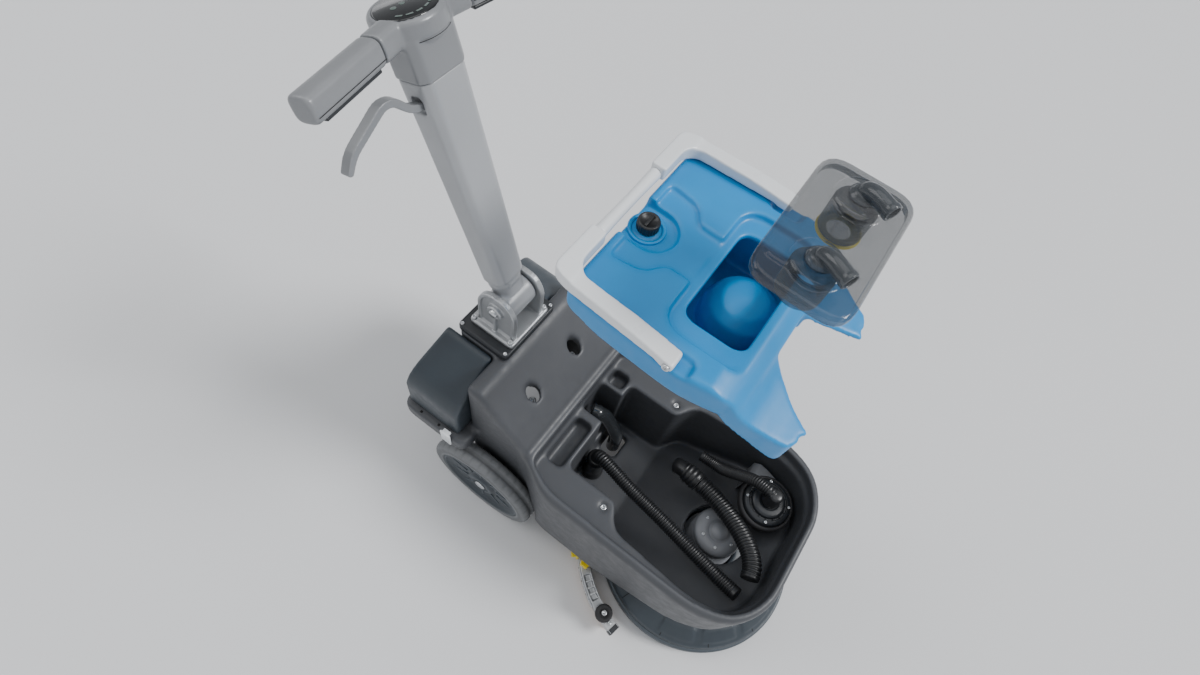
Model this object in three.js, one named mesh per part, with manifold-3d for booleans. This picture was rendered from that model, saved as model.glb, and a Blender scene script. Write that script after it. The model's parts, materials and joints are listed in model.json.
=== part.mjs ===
// A walk-behind floor scrubber drier: round brush deck, curved squeegee, tub chassis with two drive-free
// wheels, a lift-out tank with a clear lid, and a tilting mast with a T handle.
// Units are millimetres. Front is -Y, the machine's left is +X and up is +Z.
import * as THREE from 'three';
import { mergeVertices } from 'three/addons/utils/BufferGeometryUtils.js';
import Module from 'manifold-3d';

const wasm = await Module();
wasm.setup();

// ---------------------------------------------------------------- driving dimensions
const CENTRE_Y = 9.9;                    // the middle of the machine's length, which the origin sits under
const GAP = 0.3;                        // clearance kept between pieces that touch

const WHEEL = { r: 125, width: 42, x: 180, y: 204, rimR: 99 };
const AXLE_R = 9;

const DECK = { y: -250, r: 212, skirtLow: 24, skirtHigh: 43.7 };
const BRUSH = { r: 188, bristleTop: 33.7, discTop: 44 };
const BRUSH_MOTOR = { r: 56, low: 58.5, top: 230 };

const TUB = { low: 100, rim: 352, ledge: 322, floor: 125, noseRise: 0.42, noseFrom: -60 };
const TUB_HALF = [[0, 150, 1], [150, 150, 10], [154, 122, 20], [188, 64, 30], [191, -262, 60], [166, -336,
  60],
  [100, -376, 60], [0, -386, 1]];
const REAR = { half: 150, front: 118, back: 262, top: 472, slopeTop: 236 };
const SPINE = { half: 72, back: 346 };
const TRAY = { half: 196, low: 262, top: 300, back: 394 };
const PLATE_Z = 480;

const PIVOT = { y: 284.3, z: 560.5 };
const MAST_TILT = -18 * Math.PI / 180;  // the mast leans back from upright
const MAST = { neck: 56, top: 406, lowW: 60, lowD: 48, topW: 74, topD: 58 };
const HEAD = { s: 464, r: 46, thick: 28, grip: 190, half: 16, sweep: 12 * Math.PI / 180 };
const TRIGGER = { from: 78, to: 172, near: 16.6, far: 21.6, half: 7, slotFloor: 9, lugLow: 10.8 };

const LEVER_HALF = 8;                   // half the width of the release lever

const SQUEEGEE = { r: 255, half: 11, low: 34, top: 60, end: 78 };

const TANK_LIFT = 555;                  // how far the tank stands above its seat
const TANK = { top: 370, seat: 325, half: 143, back: 110, front: -112 };
const OPENING = { half: 72, back: -4, front: -82, recessHalf: 100, recessBack: 9, recessFront: -97 };
const HANDLE = { pivotY: -26, pivotZ: 376, top: 389, outer: 145, rearOuter: 134, gripY: 119 };
const FILLER = { y: 88, capR: 14, boreR: 10, capTop: 372.5, recessR: 31, recessY: 80 };

const LID_SHIFT = { y: -43, z: 126 };   // how far the lid stands off its seat, forward and up
const LID = { half: 89, back: 7, front: -94, low: 362, top: 376, cupX: 47, cupY: -44 };

const VAC = { x: 84, y: -290, r: 48 };

// ---------------------------------------------------------------- materials
const paint = (color, roughness, metalness = 0) => new THREE.MeshStandardMaterial({ color, roughness,
  metalness });
const BLUE = paint(0x2f93cf, 0.42);
const WHITE = paint(0xd5d8da, 0.4);
const MAST_GREY = paint(0xb4b6b8, 0.45);
const CHASSIS_GREY = paint(0x53555a, 0.55);
const SLATE = paint(0x49525a, 0.5);
const DARK_SLATE = paint(0x2e3439, 0.5);
const BLACK = paint(0x1c1d1f, 0.6);
const RUBBER = paint(0x2a2b2d, 0.85);
const LIGHT_RUBBER = paint(0x8d8f90, 0.8);
const CAST = paint(0xb9bcbe, 0.4, 0.8);
const STEEL = paint(0xc9ccce, 0.3, 1);
const LIGHT_GREY = paint(0x9c9fa2, 0.5);
const YELLOW = paint(0xe8c81c, 0.45);
const TAN = paint(0xb08a5c, 0.7);
const SMOKE = paint(0x5a5f63, 0.15);
const GLASS = paint(0x0c0e10, 0.1);
const LIGHT = paint(0xd9dcdc, 0.3);

// ---------------------------------------------------------------- solids
function solid(geometry) {
  const bare = geometry.clone();
  bare.deleteAttribute('normal');
  bare.deleteAttribute('uv');
  const merged = mergeVertices(bare, 1e-4);
  const corners = merged.index.array;
  const kept = [];
  for (let i = 0; i < corners.length; i += 3) {
    const [a, b, c] = corners.slice(i, i + 3);
    if (a !== b && b !== c && c !== a) kept.push(a, b, c);
  }
  return new wasm.Manifold(new wasm.Mesh({
    numProp: 3,
    vertProperties: new Float32Array(merged.attributes.position.array),
    triVerts: new Uint32Array(kept),
  }));
}

function toGeometry(manifold) {
  const mesh = manifold.getMesh();
  const geometry = new THREE.BufferGeometry();
  geometry.setAttribute('position', new THREE.BufferAttribute(mesh.vertProperties, 3));
  geometry.setIndex(new THREE.BufferAttribute(mesh.triVerts, 1));
  return geometry;
}

const largest = (manifold) => manifold.decompose().sort((a, b) => b.volume() - a.volume())[0];
const join = (...parts) => parts.reduce((sum, part) => sum.add(part));

function box(x0, x1, y0, y1, z0, z1) {
  const geometry = new THREE.BoxGeometry(x1 - x0, y1 - y0, z1 - z0);
  geometry.translate((x0 + x1) / 2, (y0 + y1) / 2, (z0 + z1) / 2);
  return solid(geometry);
}

function rod(axis, r, from, to, [a, b], sides = 32) {
  const geometry = new THREE.CylinderGeometry(r, r, to - from, sides);
  if (axis === 'z') geometry.rotateX(Math.PI / 2);
  if (axis === 'x') geometry.rotateZ(-Math.PI / 2);
  const middle = (from + to) / 2;
  if (axis === 'z') geometry.translate(a, b, middle);
  if (axis === 'x') geometry.translate(middle, a, b);
  if (axis === 'y') geometry.translate(a, middle, b);
  return solid(geometry);
}

// A turned solid about a vertical axis: profile points are [radius, height].
function turned(profile, x = 0, y = 0, sides = 32) {
  const points = profile.map(([r, z]) => new THREE.Vector2(r, z));
  const onAxis = profile[0][0] === 0 && profile.at(-1)[0] === 0;
  if (!onAxis) points.push(points[0].clone());
  const geometry = new THREE.LatheGeometry(points, sides);
  geometry.rotateX(Math.PI / 2);
  geometry.translate(x, y, 0);
  const made = solid(geometry);
  return made.volume() < 0 ? solid(flipped(geometry)) : made;
}

function flipped(geometry) {
  const index = geometry.index.array;
  for (let i = 0; i < index.length; i += 3) [index[i], index[i + 1]] = [index[i + 1], index[i]];
  return geometry;
}

// Rounds the corners of an anticlockwise outline, whose points are [x, y, corner radius].
function rounded(points, curve) {
  const count = points.length;
  return points.flatMap(([x, y, r], i) => {
    if (r === 0) return [new THREE.Vector2(x, y)];
    const [px, py] = points[(i + count - 1) % count];
    const [nx, ny] = points[(i + 1) % count];
    const toPrev = Math.hypot(px - x, py - y);
    const toNext = Math.hypot(nx - x, ny - y);
    const cut = Math.min(r, toPrev * 0.49, toNext * 0.49);
    const corner = new THREE.QuadraticBezierCurve(
      new THREE.Vector2(x + (px - x) * cut / toPrev, y + (py - y) * cut / toPrev),
      new THREE.Vector2(x, y),
      new THREE.Vector2(x + (nx - x) * cut / toNext, y + (ny - y) * cut / toNext),
    );
    return corner.getPoints(curve);
  });
}

// A closed body through level outlines of equal point counts, each [z, outline points].
function loft(levels) {
  const count = levels[0][1].length;
  const vertices = levels.flatMap(([z, outline]) => outline.flatMap((p) => [p.x, p.y, z]));
  const index = [];
  for (let level = 0; level + 1 < levels.length; level += 1) {
    for (let i = 0; i < count; i += 1) {
      const a = level * count + i;
      const b = level * count + (i + 1) % count;
      index.push(a, b, b + count, a, b + count, a + count);
    }
  }
  const top = (levels.length - 1) * count;
  for (const [a, b, c] of THREE.ShapeUtils.triangulateShape(levels[0][1], [])) index.push(c, b, a);
  for (const [a, b, c] of THREE.ShapeUtils.triangulateShape(levels.at(-1)[1], [])) {
    index.push(top + a, top + b, top + c);
  }
  const geometry = new THREE.BufferGeometry();
  geometry.setAttribute('position', new THREE.Float32BufferAttribute(vertices, 3));
  geometry.setIndex(index);
  return solid(geometry);
}

// Moves every edge of an anticlockwise outline outwards by d (inwards when d is negative).
function offset(points, d) {
  const count = points.length;
  return points.map(([x, y, r], i) => {
    const [px, py] = points[(i + count - 1) % count];
    const [nx, ny] = points[(i + 1) % count];
    const a = new THREE.Vector2(y - py, px - x).normalize();
    const b = new THREE.Vector2(ny - y, x - nx).normalize();
    const mitre = a.clone().add(b).multiplyScalar(d / (1 + a.dot(b)));
    return [x + mitre.x, y + mitre.y, r === 0 ? 0 : Math.max(r + d, 0.8)];
  });
}

// A half outline that starts and ends on x = 0, with x positive, becomes a whole one.
function mirrored(half) {
  const left = half.filter(([x]) => x > 0);
  const right = left.map(([x, y, r]) => [-x, y, r]).reverse();
  const whole = [...left, ...right];
  return area(whole) > 0 ? whole : whole.reverse();
}

function area(points) {
  return points.reduce((sum, [x, y], i) => {
    const [nx, ny] = points[(i + 1) % points.length];
    return sum + x * ny - nx * y;
  }, 0);
}

// An upright prism on an outline, with its top and bottom edges rounded by bevel.
function prism(points, z0, z1, bevel = 0, curve = 3) {
  const steps = bevel > 5 ? 3 : 1;
  const turns = bevel > 0 ? Array.from({ length: steps + 1 }, (_,
    i) => i / steps * Math.PI / 2) : [Math.PI / 2];
  const low = turns.map((t) => [z0 + bevel * (1 - Math.cos(t)), -bevel * (1 - Math.sin(t))]);
  const high = turns.map((t) => [z1 - bevel * (1 - Math.cos(t)), -bevel * (1 - Math.sin(t))]).reverse();
  if (bevel === 0) low[0][0] = z0;
  if (bevel === 0) high[0][0] = z1;
  return loft([...low, ...high].map(([z, inset]) => [z, rounded(offset(points, inset), curve)]));
}

// A side profile, given as [y, z, corner radius], made as wide as x0 to x1.
function slab(points, x0, x1, bevel = 0, curve = 3) {
  const ordered = area(points) > 0 ? points : [...points].reverse();
  return prism(ordered, x0, x1, bevel, curve).rotate([90, 0, 0]).rotate([0, 0, 90]);
}

function rectangle(xa, xb, y0, y1, r) {
  const [x0, x1] = xa < xb ? [xa, xb] : [xb, xa];
  return [[x0, y0, r], [x1, y0, r], [x1, y1, r], [x0, y1, r]];
}

// A round bar that follows a smooth curve through the points.
function pipe(points, r, sides = 12, steps = 24) {
  const section = new THREE.Shape();
  section.absarc(0, 0, r, 0, Math.PI * 2, false);
  const curve = new THREE.CatmullRomCurve3(points.map((p) => new THREE.Vector3(...p)));
  const geometry = new THREE.ExtrudeGeometry(section, { steps, extrudePath: curve,
    curveSegments: sides / 2 });
  return solid(geometry);
}

// A wedge that covers the directions from one angle to another, in degrees from straight back (+Y).
function sector(from, to, r, z0, z1) {
  const points = [[0, DECK.y, 0]];
  for (let i = 0; i <= 6; i += 1) {
    const angle = THREE.MathUtils.degToRad(from + (to - from) * i / 6);
    points.push([-Math.sin(angle) * r, DECK.y + Math.cos(angle) * r, 0]);
  }
  return prism(area(points) > 0 ? points : points.reverse(), z0, z1);
}

const machine = new THREE.Group();
machine.position.y = -CENTRE_Y;

function add(name, shape, material, parent = machine) {
  const mesh = new THREE.Mesh(toGeometry(shape), material);
  mesh.name = name;
  parent.add(mesh);
  return mesh;
}

const SIDES = [['right', -1], ['left', 1]];

// ---------------------------------------------------------------- chassis
// The height of the sloping underside at y, raised by lift.
const noseZ = (y, lift) => TUB.low + lift + TUB.noseRise * (TUB.noseFrom - y);
const NOSE_END = -410;

function chassisTub() {
  const outline = mirrored(TUB_HALF);
  const underNose = slab([[TUB.noseFrom, TUB.low, 0], [NOSE_END, noseZ(NOSE_END, 0), 0], [NOSE_END, 60, 0],
    [TUB.noseFrom, 60, 0]], -250, 250);
  const hull = prism(outline, TUB.low, TUB.rim, 14, 5).subtract(underNose);
  const rear = slab([[REAR.front, TUB.low, 4], [REAR.back, TUB.low, 4], [REAR.back, REAR.top, 10],
    [REAR.slopeTop, REAR.top, 14], [REAR.front, TUB.rim - 6, 20]], -REAR.half, REAR.half, 9);
  const spine = prism(rectangle(-SPINE.half, SPINE.half, 250, SPINE.back, 12), 180, REAR.top);
  const tray = prism(rectangle(-TRAY.half, TRAY.half, 240, TRAY.back, 22), TRAY.low, TRAY.top, 3);
  let body = join(hull, rear, spine, tray);
  // the seat for the tank, then the well under it
  const seat = mirrored([[0, 113, 1], [147, 113, 12], [171, 58, 30], [175, -258, 50], [153, -327, 50],
    [95, -362, 50], [0, -370, 1]]);
  body = body.subtract(prism(seat, TUB.ledge, 420, 0, 5));
  const floorLift = TUB.floor - TUB.low;
  const well = mirrored([[0, 58, 1], [106, 58, 12], [106, -50, 12], [150, -78, 20], [164, -254, 40], [148,
    -322, 40],
    [94, -358, 40], [0, -366, 1]]);
  const depth = slab([[90, TUB.floor, 0], [TUB.noseFrom, TUB.floor, 0], [NOSE_END, noseZ(NOSE_END,
    floorLift), 0],
    [NOSE_END, 340, 0], [90, 340, 0]], -200, 200);
  body = body.subtract(prism(well, TUB.floor - 5, TUB.ledge + 5, 0, 4).intersect(depth));
  // pockets in the ledge behind the well
  body = body.subtract(prism(rectangle(-118, -14, 68, 104, 8), 292, 330));
  body = body.subtract(prism(rectangle(84, 118, 68, 104, 8), 292, 330));
  body = body.subtract(prism(rectangle(6, 74, 50, 110, 10), 190, 330));
  for (const [, side] of SIDES) {
    body = body.subtract(rod('z', 14, 368, 480, [side * 62, 182], 24));
    body = body.subtract(rod('z', 9, 314, 330, [side * 128, -39], 24));
    body = body.subtract(box(side * 179 - 4, side * 179 + 4, 372, 380, 250, 310));
    body = body.subtract(rod('x', WHEEL.r + 9, Math.min(side * 153, side * 260), Math.max(side * 153,
      side * 260),
      [WHEEL.y, WHEEL.r], 28));
  }
  // hollows under the rear
  body = body.subtract(slab([[140, 90, 0], [250, 90, 0], [250, 456, 8], [238, 456, 8], [140, 334, 8]],
    -138, 138));
  body = body.subtract(box(-138, 138, 70, 132, 90, 170));
  body = body.subtract(box(-60, 60, 240, 334, 90, 456));
  body = body.subtract(rod('x', AXLE_R + GAP, -160, 160, [WHEEL.y, WHEEL.r], 24));
  // holes in the floor
  body = body.subtract(prism(rectangle(28, 84, 12, 52, 6), 80, 140));
  body = body.subtract(prism(rectangle(-78, -56, 0, 30, 4), 80, 140));
  body = body.subtract(rod('z', BRUSH_MOTOR.r + 5, 60, 300, [0, DECK.y], 40));
  return body;
}

function lightStrip() {
  const outline = mirrored(TUB_HALF);
  const band = prism(offset(outline, 3.5), 262, 286, 1, 8).subtract(prism(offset(outline, GAP), 250, 300,
    0, 8));
  return band.intersect(box(-118, 118, -420, -340, 240, 300));
}

function batteryBox(side) {
  const inner = SPINE.half + 1;
  const front = REAR.back + 1;
  const section = [[inner, TRAY.top + GAP, 2], [182, TRAY.top + GAP, 3], [181, 384, 14], [160, 416, 20],
    [84, 466, 12],
    [inner, 466, 2]].map(([x, z, r]) => [side * x, z, r]);
  const across = prism(area(section) > 0 ? section : section.reverse(), -400, -front, 5, 4).rotate([90, 0,
    0]);
  const along = slab([[front, TRAY.top, 0], [386, TRAY.top, 0], [384, 396, 24], [362, 480, 0], [front, 480,
    0]], -200, 200);
  return across.intersect(along);
}

function batteryLatch() {
  const hook = prism(rectangle(-200.5, -196.4, 268, 292, 2), 276, 318, 1);
  return hook.add(box(-200.5, -190, 272, 288, 312, 318));
}

function centrePlate() {
  const plate = prism(rectangle(-71, 71, 238, 348, 10), REAR.top + GAP, PLATE_Z + 9, 2);
  return plate.subtract(box(-20, 20, 262, 300, REAR.top - 5, PLATE_Z + 20));
}

// ---------------------------------------------------------------- mast bracket
function mastBracket() {
  const base = PLATE_Z + 9 + GAP;
  let bracket = prism(rectangle(-53, 53, 240, 335, 8), base, base + 11, 2);
  const arch = (inset) => slab([[246 + inset, base + 6 + inset, 0], [324 - inset, base + 6 + inset, 0],
    [324 - inset, PIVOT.z + 8, 30], [306 - inset, PIVOT.z + 38 - inset, 24], [262 + inset,
    PIVOT.z + 38 - inset, 24],
    [244 + inset, PIVOT.z + 8, 30]], 0, 10 - inset / 2, 0, 4);
  for (const [, side] of SIDES) {
    const ear = arch(0).subtract(arch(7).translate([7, 0, 0]));
    const boss = rod('x', 15, 3, 15, [PIVOT.y, PIVOT.z], 20);
    const rib = box(3, 14, 282, 288, base + 8, PIVOT.z - 4);
    const whole = join(ear, boss, rib).translate([31, 0, 0]);
    bracket = bracket.add(side < 0 ? whole.mirror([1, 0, 0]) : whole);
  }
  return bracket.subtract(rod('x', 8, -60, 60, [PIVOT.y, PIVOT.z], 24));
}

function bracketScrew(x, y) {
  const base = PLATE_Z + 9 + GAP + 11 + GAP;
  return rod('z', 4.8, base, base + 5, [x, y], 16).subtract(rod('z', 2.4, base + 2, base + 9, [x, y], 6));
}

// ---------------------------------------------------------------- wheels
function tyre(side) {
  const half = WHEEL.width / 2;
  const inner = WHEEL.rimR + GAP;
  const profile = [[inner, -half], [WHEEL.r - 7, -half], [WHEEL.r - 1, -half + 6], [WHEEL.r, 0],
    [WHEEL.r - 1, half - 6], [WHEEL.r - 7, half], [inner, half]];
  return turned(profile, 0, 0, 32).rotate([0, 90, 0]).translate([side * WHEEL.x, WHEEL.y, WHEEL.r]);
}

function wheelHub(side) {
  const out = WHEEL.width / 2;
  const bore = AXLE_R + GAP;
  const profile = [[bore, -out + 4], [WHEEL.rimR, -out + 4], [WHEEL.rimR, out - 1], [91, out - 1], [87,
    out - 6],
    [34, out - 10], [28, out - 3], [bore, out - 3]];
  const hub = turned(profile, 0, 0, 32).rotate([0, side * 90, 0]);
  return hub.translate([side * WHEEL.x, WHEEL.y, WHEEL.r]);
}

// ---------------------------------------------------------------- deck and brush
function deckProfile() {
  return [[61, 62], [61, 138], [80, 134], [116, 94], [176, 74], [204, 54], [208, 44], [198, 44], [168, 60],
    [110, 75]];
}

function deckCover() {
  const y = DECK.y;
  let deck = turned(deckProfile(), 0, y, 44);
  const raised = turned([[124, 76], [124, 94], [176, 77.5], [196, 62], [190, 55], [168, 66]], 0, y, 44);
  for (let i = 0; i < 6; i += 1) {
    const from = 96 + i * 28;
    deck = deck.add(raised.intersect(sector(from, from + 22, 230, 40, 120)));
  }
  return deck;
}

function deckSkirt() {
  const { r, skirtLow: low, skirtHigh: high } = DECK;
  return turned([[r - 9, low], [r - 2, low], [r, low + 3], [r, high - 6], [r - 4, high], [r - 9, high]], 0,
    DECK.y, 44);
}

function brushDisc() {
  const profile = [[0, 34], [BRUSH.r - 4, 34], [BRUSH.r - 4, 40], [BRUSH.r - 12, BRUSH.discTop], [16,
    BRUSH.discTop],
    [12, 58], [0, 58]];
  return turned(profile, 0, DECK.y, 36);
}

function brushBristles() {
  return turned([[64, 0], [BRUSH.r, 0], [BRUSH.r - 6, BRUSH.bristleTop], [70, BRUSH.bristleTop]], 0,
    DECK.y, 36);
}

function brushMotor() {
  const { r, low, top } = BRUSH_MOTOR;
  const profile = [[0, low], [r, low], [r, 150], [r - 6, 156], [r - 6, 212], [r - 16, top - 6], [18,
    top - 4], [14, top],
    [0, top]];
  return turned(profile, 0, DECK.y, 30);
}

// ---------------------------------------------------------------- what is in the well
function motorCradle() {
  const outline = offset(mirrored(TUB_HALF), -32);
  const lift = TUB.floor - TUB.low + 1;
  const wedge = slab([[-236, 250, 6], [-236, noseZ(-236, lift), 0], [-366, noseZ(-366, lift), 0], [-366,
    262, 0],
    [-246, 262, 6]], 18, 170);
  const hole = rod('z', VAC.r + 9, 150, 300, [VAC.x, VAC.y], 28);
  const cleared = prism(outline, 150, 300, 0, 4).intersect(wedge).subtract(hole);
  return largest(cleared.subtract(rod('z', BRUSH_MOTOR.r + 6, 100, 300, [0, DECK.y], 28)));
}

function vacMotor() {
  const { x, y, r } = VAC;
  const profile = [[0, 256], [r, 256], [r, 288], [r - 4, 294], [r - 12, 295], [r - 14, 301], [0, 304]];
  return turned(profile, x, y, 30);
}

function vacMotorSeal() {
  const { x, y, r } = VAC;
  return turned([[r + GAP, 270], [r + 7, 270], [r + 7, 281], [r + 4, 285], [r + GAP, 285]], x, y, 30);
}

const HOSE_COLLAR = { x: -24, y: 34, r: 19, top: 214 };
const HOSE_R = 14;
const LONG_HOSE = [[-24, 34, 210], [-25, 28, 230], [-31, 4, 239], [-44, -60, 238], [-56, -140, 238],
  [-72, -220, 244], [-89, -290, 262], [-98, -326, 278]];
const LOOP_HOSE = [[51.2, -168, 240.6], [47, -190, 244], [34, -226, 254], [10, -270, 272], [-18, -304, 288],
  [-44, -322, 297], [-66, -328, 298]];
const MOTOR_HOSE = [[112, -140, 224], [111, -166, 228], [107, -192, 242], [100, -220, 282], [93, -246,
  318], [87, -274, 331],
  [84.5, -287, 330]];
const SUCTION_ELBOW = [[28, 94, 282], [33, 80, 278], [44, 66, 254], [53, 50, 210], [57, 34, 165], [57, 32,
  TUB.floor - 20]];

function hoseCollar() {
  const { x, y, r, top } = HOSE_COLLAR;
  return turned([[0, TUB.floor + GAP], [r + 4, TUB.floor + GAP], [r + 4, 134], [r, 140], [r, top - 6],
    [r - 3, top],
    [0, top]], x, y, 24);
}

function hoseCuff() {
  const curve = [[58, -130, 236], [55.5, -148, 239], [51.6, -165.4, 240.5]];
  return pipe(curve, 21, 12, 3).add(pipe([[62, -110, 224], [60.5, -119, 231], [57, -136, 238]], 17, 10, 4));
}

function motorHose() {
  const boot = turned([[0, 305], [17, 305], [17, 312], [14, 316], [14, 336], [9, 341], [0, 341]], VAC.x,
    VAC.y, 18);
  return boot.add(pipe(MOTOR_HOSE, 12, 10, 14));
}

// ---------------------------------------------------------------- squeegee
function arcBand(r0, r1, z0, z1, from, to) {
  const ring = turned([[r0, z0], [r1, z0], [r1, z1], [r0, z1]], 0, DECK.y, 72);
  return ring.intersect(sector(from, to, 340, z0 - 5, z1 + 5));
}

function onArc(r, degrees) {
  const angle = THREE.MathUtils.degToRad(degrees);
  return [-Math.sin(angle) * r, DECK.y + Math.cos(angle) * r];
}

function squeegeeBar() {
  const { r, half, low, top, end } = SQUEEGEE;
  let bar = arcBand(r - half, r + half, low, top, -end, end);
  bar = bar.subtract(arcBand(r - half + 4, r + half - 4, top - 6, top + 5, -36, 36));
  bar = bar.subtract(arcBand(r - half + 4, r + half - 4, top - 6, top + 5, 50, 62));
  bar = bar.subtract(arcBand(r - half + 4, r + half - 4, top - 6, top + 5, -62, -50));
  for (const angle of [-15, 15]) bar = bar.subtract(rod('z', 5.5, low - 5, top + 5, onArc(r, angle), 20));
  return bar;
}

function squeegeeBlade() {
  const { r, low, end } = SQUEEGEE;
  return arcBand(r - 2, r + 2, 1, low - GAP, 2 - end, end - 2);
}

function squeegeeCarrier() {
  let carrier = arcBand(222, 268, 84, 93, -24, 24);
  for (const angle of [-15, 15]) carrier = carrier.add(rod('z', 5, 54, 86, onArc(SQUEEGEE.r, angle), 20));
  return carrier;
}

function squeegeeKnob(side) {
  const [x, y] = onArc(SQUEEGEE.r, -side * 45);
  let knob = rod('z', 8, SQUEEGEE.top + GAP, 72, [x, y], 14);
  for (let i = 0; i < 5; i += 1) {
    const angle = i / 5 * Math.PI * 2;
    knob = knob.add(rod('z', 4.5, SQUEEGEE.top + 4, 74, [x + Math.cos(angle) * 8, y + Math.sin(angle) * 8],
      8));
  }
  return knob;
}

function squeegeeLatch(side) {
  const r = SQUEEGEE.r + SQUEEGEE.half + GAP;
  const plate = arcBand(r, r + 5, 38, 74, -side * 40 - 2, -side * 40 + 2);
  return plate.add(arcBand(r + 2, r + 18, 68, 74, -side * 40 - 2, -side * 40 + 2));
}

function bumperWheel(side) {
  const [x, y] = onArc(SQUEEGEE.r, -side * 69);
  return turned([[0, SQUEEGEE.top + 1], [16, SQUEEGEE.top + 1], [18, SQUEEGEE.top + 4], [18, 76], [16, 79],
    [6, 79],
    [5, 82], [0, 82]], x, y, 20);
}

// ---------------------------------------------------------------- mast, in its own upright frame
function octagon(width, depth, cut) {
  const w = width / 2;
  const d = depth / 2;
  return [[-w + cut, -d, 2], [w - cut, -d, 2], [w, -d + cut, 2], [w, d - cut, 2], [w - cut, d, 2],
    [-w + cut, d, 2],
    [-w, d - cut, 2], [-w, -d + cut, 2]];
}

function mastTube() {
  const low = rounded(octagon(MAST.lowW, MAST.lowD, 9), 2);
  const high = rounded(octagon(MAST.topW, MAST.topD, 10), 2);
  const tube = loft([[MAST.neck, low], [MAST.top, high]]);
  const neck = prism(octagon(54, 40, 12), 4, MAST.neck + 4, 0, 2);
  const knuckle = rod('x', 30, -30.5, 30.5, [0, 0], 30);
  const shoulder = prism(octagon(58, 46, 14), 40, MAST.neck + 3, 6, 2);
  return join(tube, neck, knuckle, shoulder)
    .subtract(rod('x', 8, -60, 60, [0, 0], 24))
    .subtract(box(-50, -30, -LEVER_HALF - 1, LEVER_HALF + 1, 364, 386));
}

function headHousing() {
  const collar = prism(octagon(MAST.topW + 3, MAST.topD + 3, 10), MAST.top + GAP, HEAD.s - 8, 0, 2);
  const { r } = HEAD;
  const low = HEAD.s - HEAD.thick / 2;
  const high = HEAD.s + HEAD.thick / 2;
  const hub = turned([[0, low - 8], [r - 10, low - 8], [r - 3, low], [r, low + 6], [r, high - 5], [r - 3,
    high - 1],
    [r - 6, high], [0, high]], 0, 8, 36);
  let head = collar.add(hub);
  for (const [, side] of SIDES) head = head.add(gripBar(side, 34, 72, 0.4));
  return head.subtract(rod('z', r - 7, high - 4, high + 10, [0, 8], 36));
}

// A stretch of the handle bar, measured out from the mast along one side.
function gripBar(side, from, to, grow) {
  const half = HEAD.half + grow / 2;
  const bar = prism([[-half, -half, 11], [half, -half, 11], [half, half, 11], [-half, half, 11]], from, to,
    grow > 0 ? 0 : 3, 3);
  return bar.rotate([0, side * 90, 0]).rotate([0, 0, -side * THREE.MathUtils.radToDeg(HEAD.sweep)])
    .translate([0, 4, HEAD.s]);
}

function displayLens() {
  const high = HEAD.s + HEAD.thick / 2;
  return turned([[0, high - 4 + GAP], [HEAD.r - 7.5, high - 4 + GAP], [HEAD.r - 7.5, high - 1],
    [HEAD.r - 10, high],
    [0, high + 1]], 0, 8, 36);
}

// A block under a grip, from one distance below its middle to another, in the same place as the grip.
function underGrip(side, near, far, half, from, to, edge) {
  return prism(rectangle(side * far, side * near, -half, half, edge), from, to, 0, 2)
    .rotate([0, side * 90, 0]).rotate([0, 0, -side * THREE.MathUtils.radToDeg(HEAD.sweep)]);
}

// A grip with the slot that its trigger squeezes into.
function handGrip(side) {
  const { from, to, half, slotFloor } = TRIGGER;
  const slot = underGrip(side, slotFloor, HEAD.half + 4, half + 1.2, from - 3, to + 3, 2);
  return gripBar(side, 72 + GAP, HEAD.grip, 0).subtract(slot.translate([0, 4, HEAD.s]));
}

function gripTrigger(side) {
  const { from, to, near, far, half, lugLow } = TRIGGER;
  const bar = underGrip(side, near, far, half, from, to, 2);
  const lug = underGrip(side, lugLow, far - 1, half - 2, from, from + 8, 2);
  return bar.add(lug);
}

function releaseLever() {
  const outline = [[-31.5, 370, 2], [-31.5, 379, 2], [-48, 384, 12], [-66, 406, 16], [-86, 409, 16], [-148,
    380, 14],
    [-163, 360, 4], [-156, 357, 3], [-142, 373, 12], [-84, 399, 14], [-72, 397, 14], [-54, 376, 12]];
  const ordered = area(outline) > 0 ? outline : outline.reverse();
  return prism(ordered, -LEVER_HALF, LEVER_HALF, 0, 3).rotate([90, 0, 0]);
}

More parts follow.
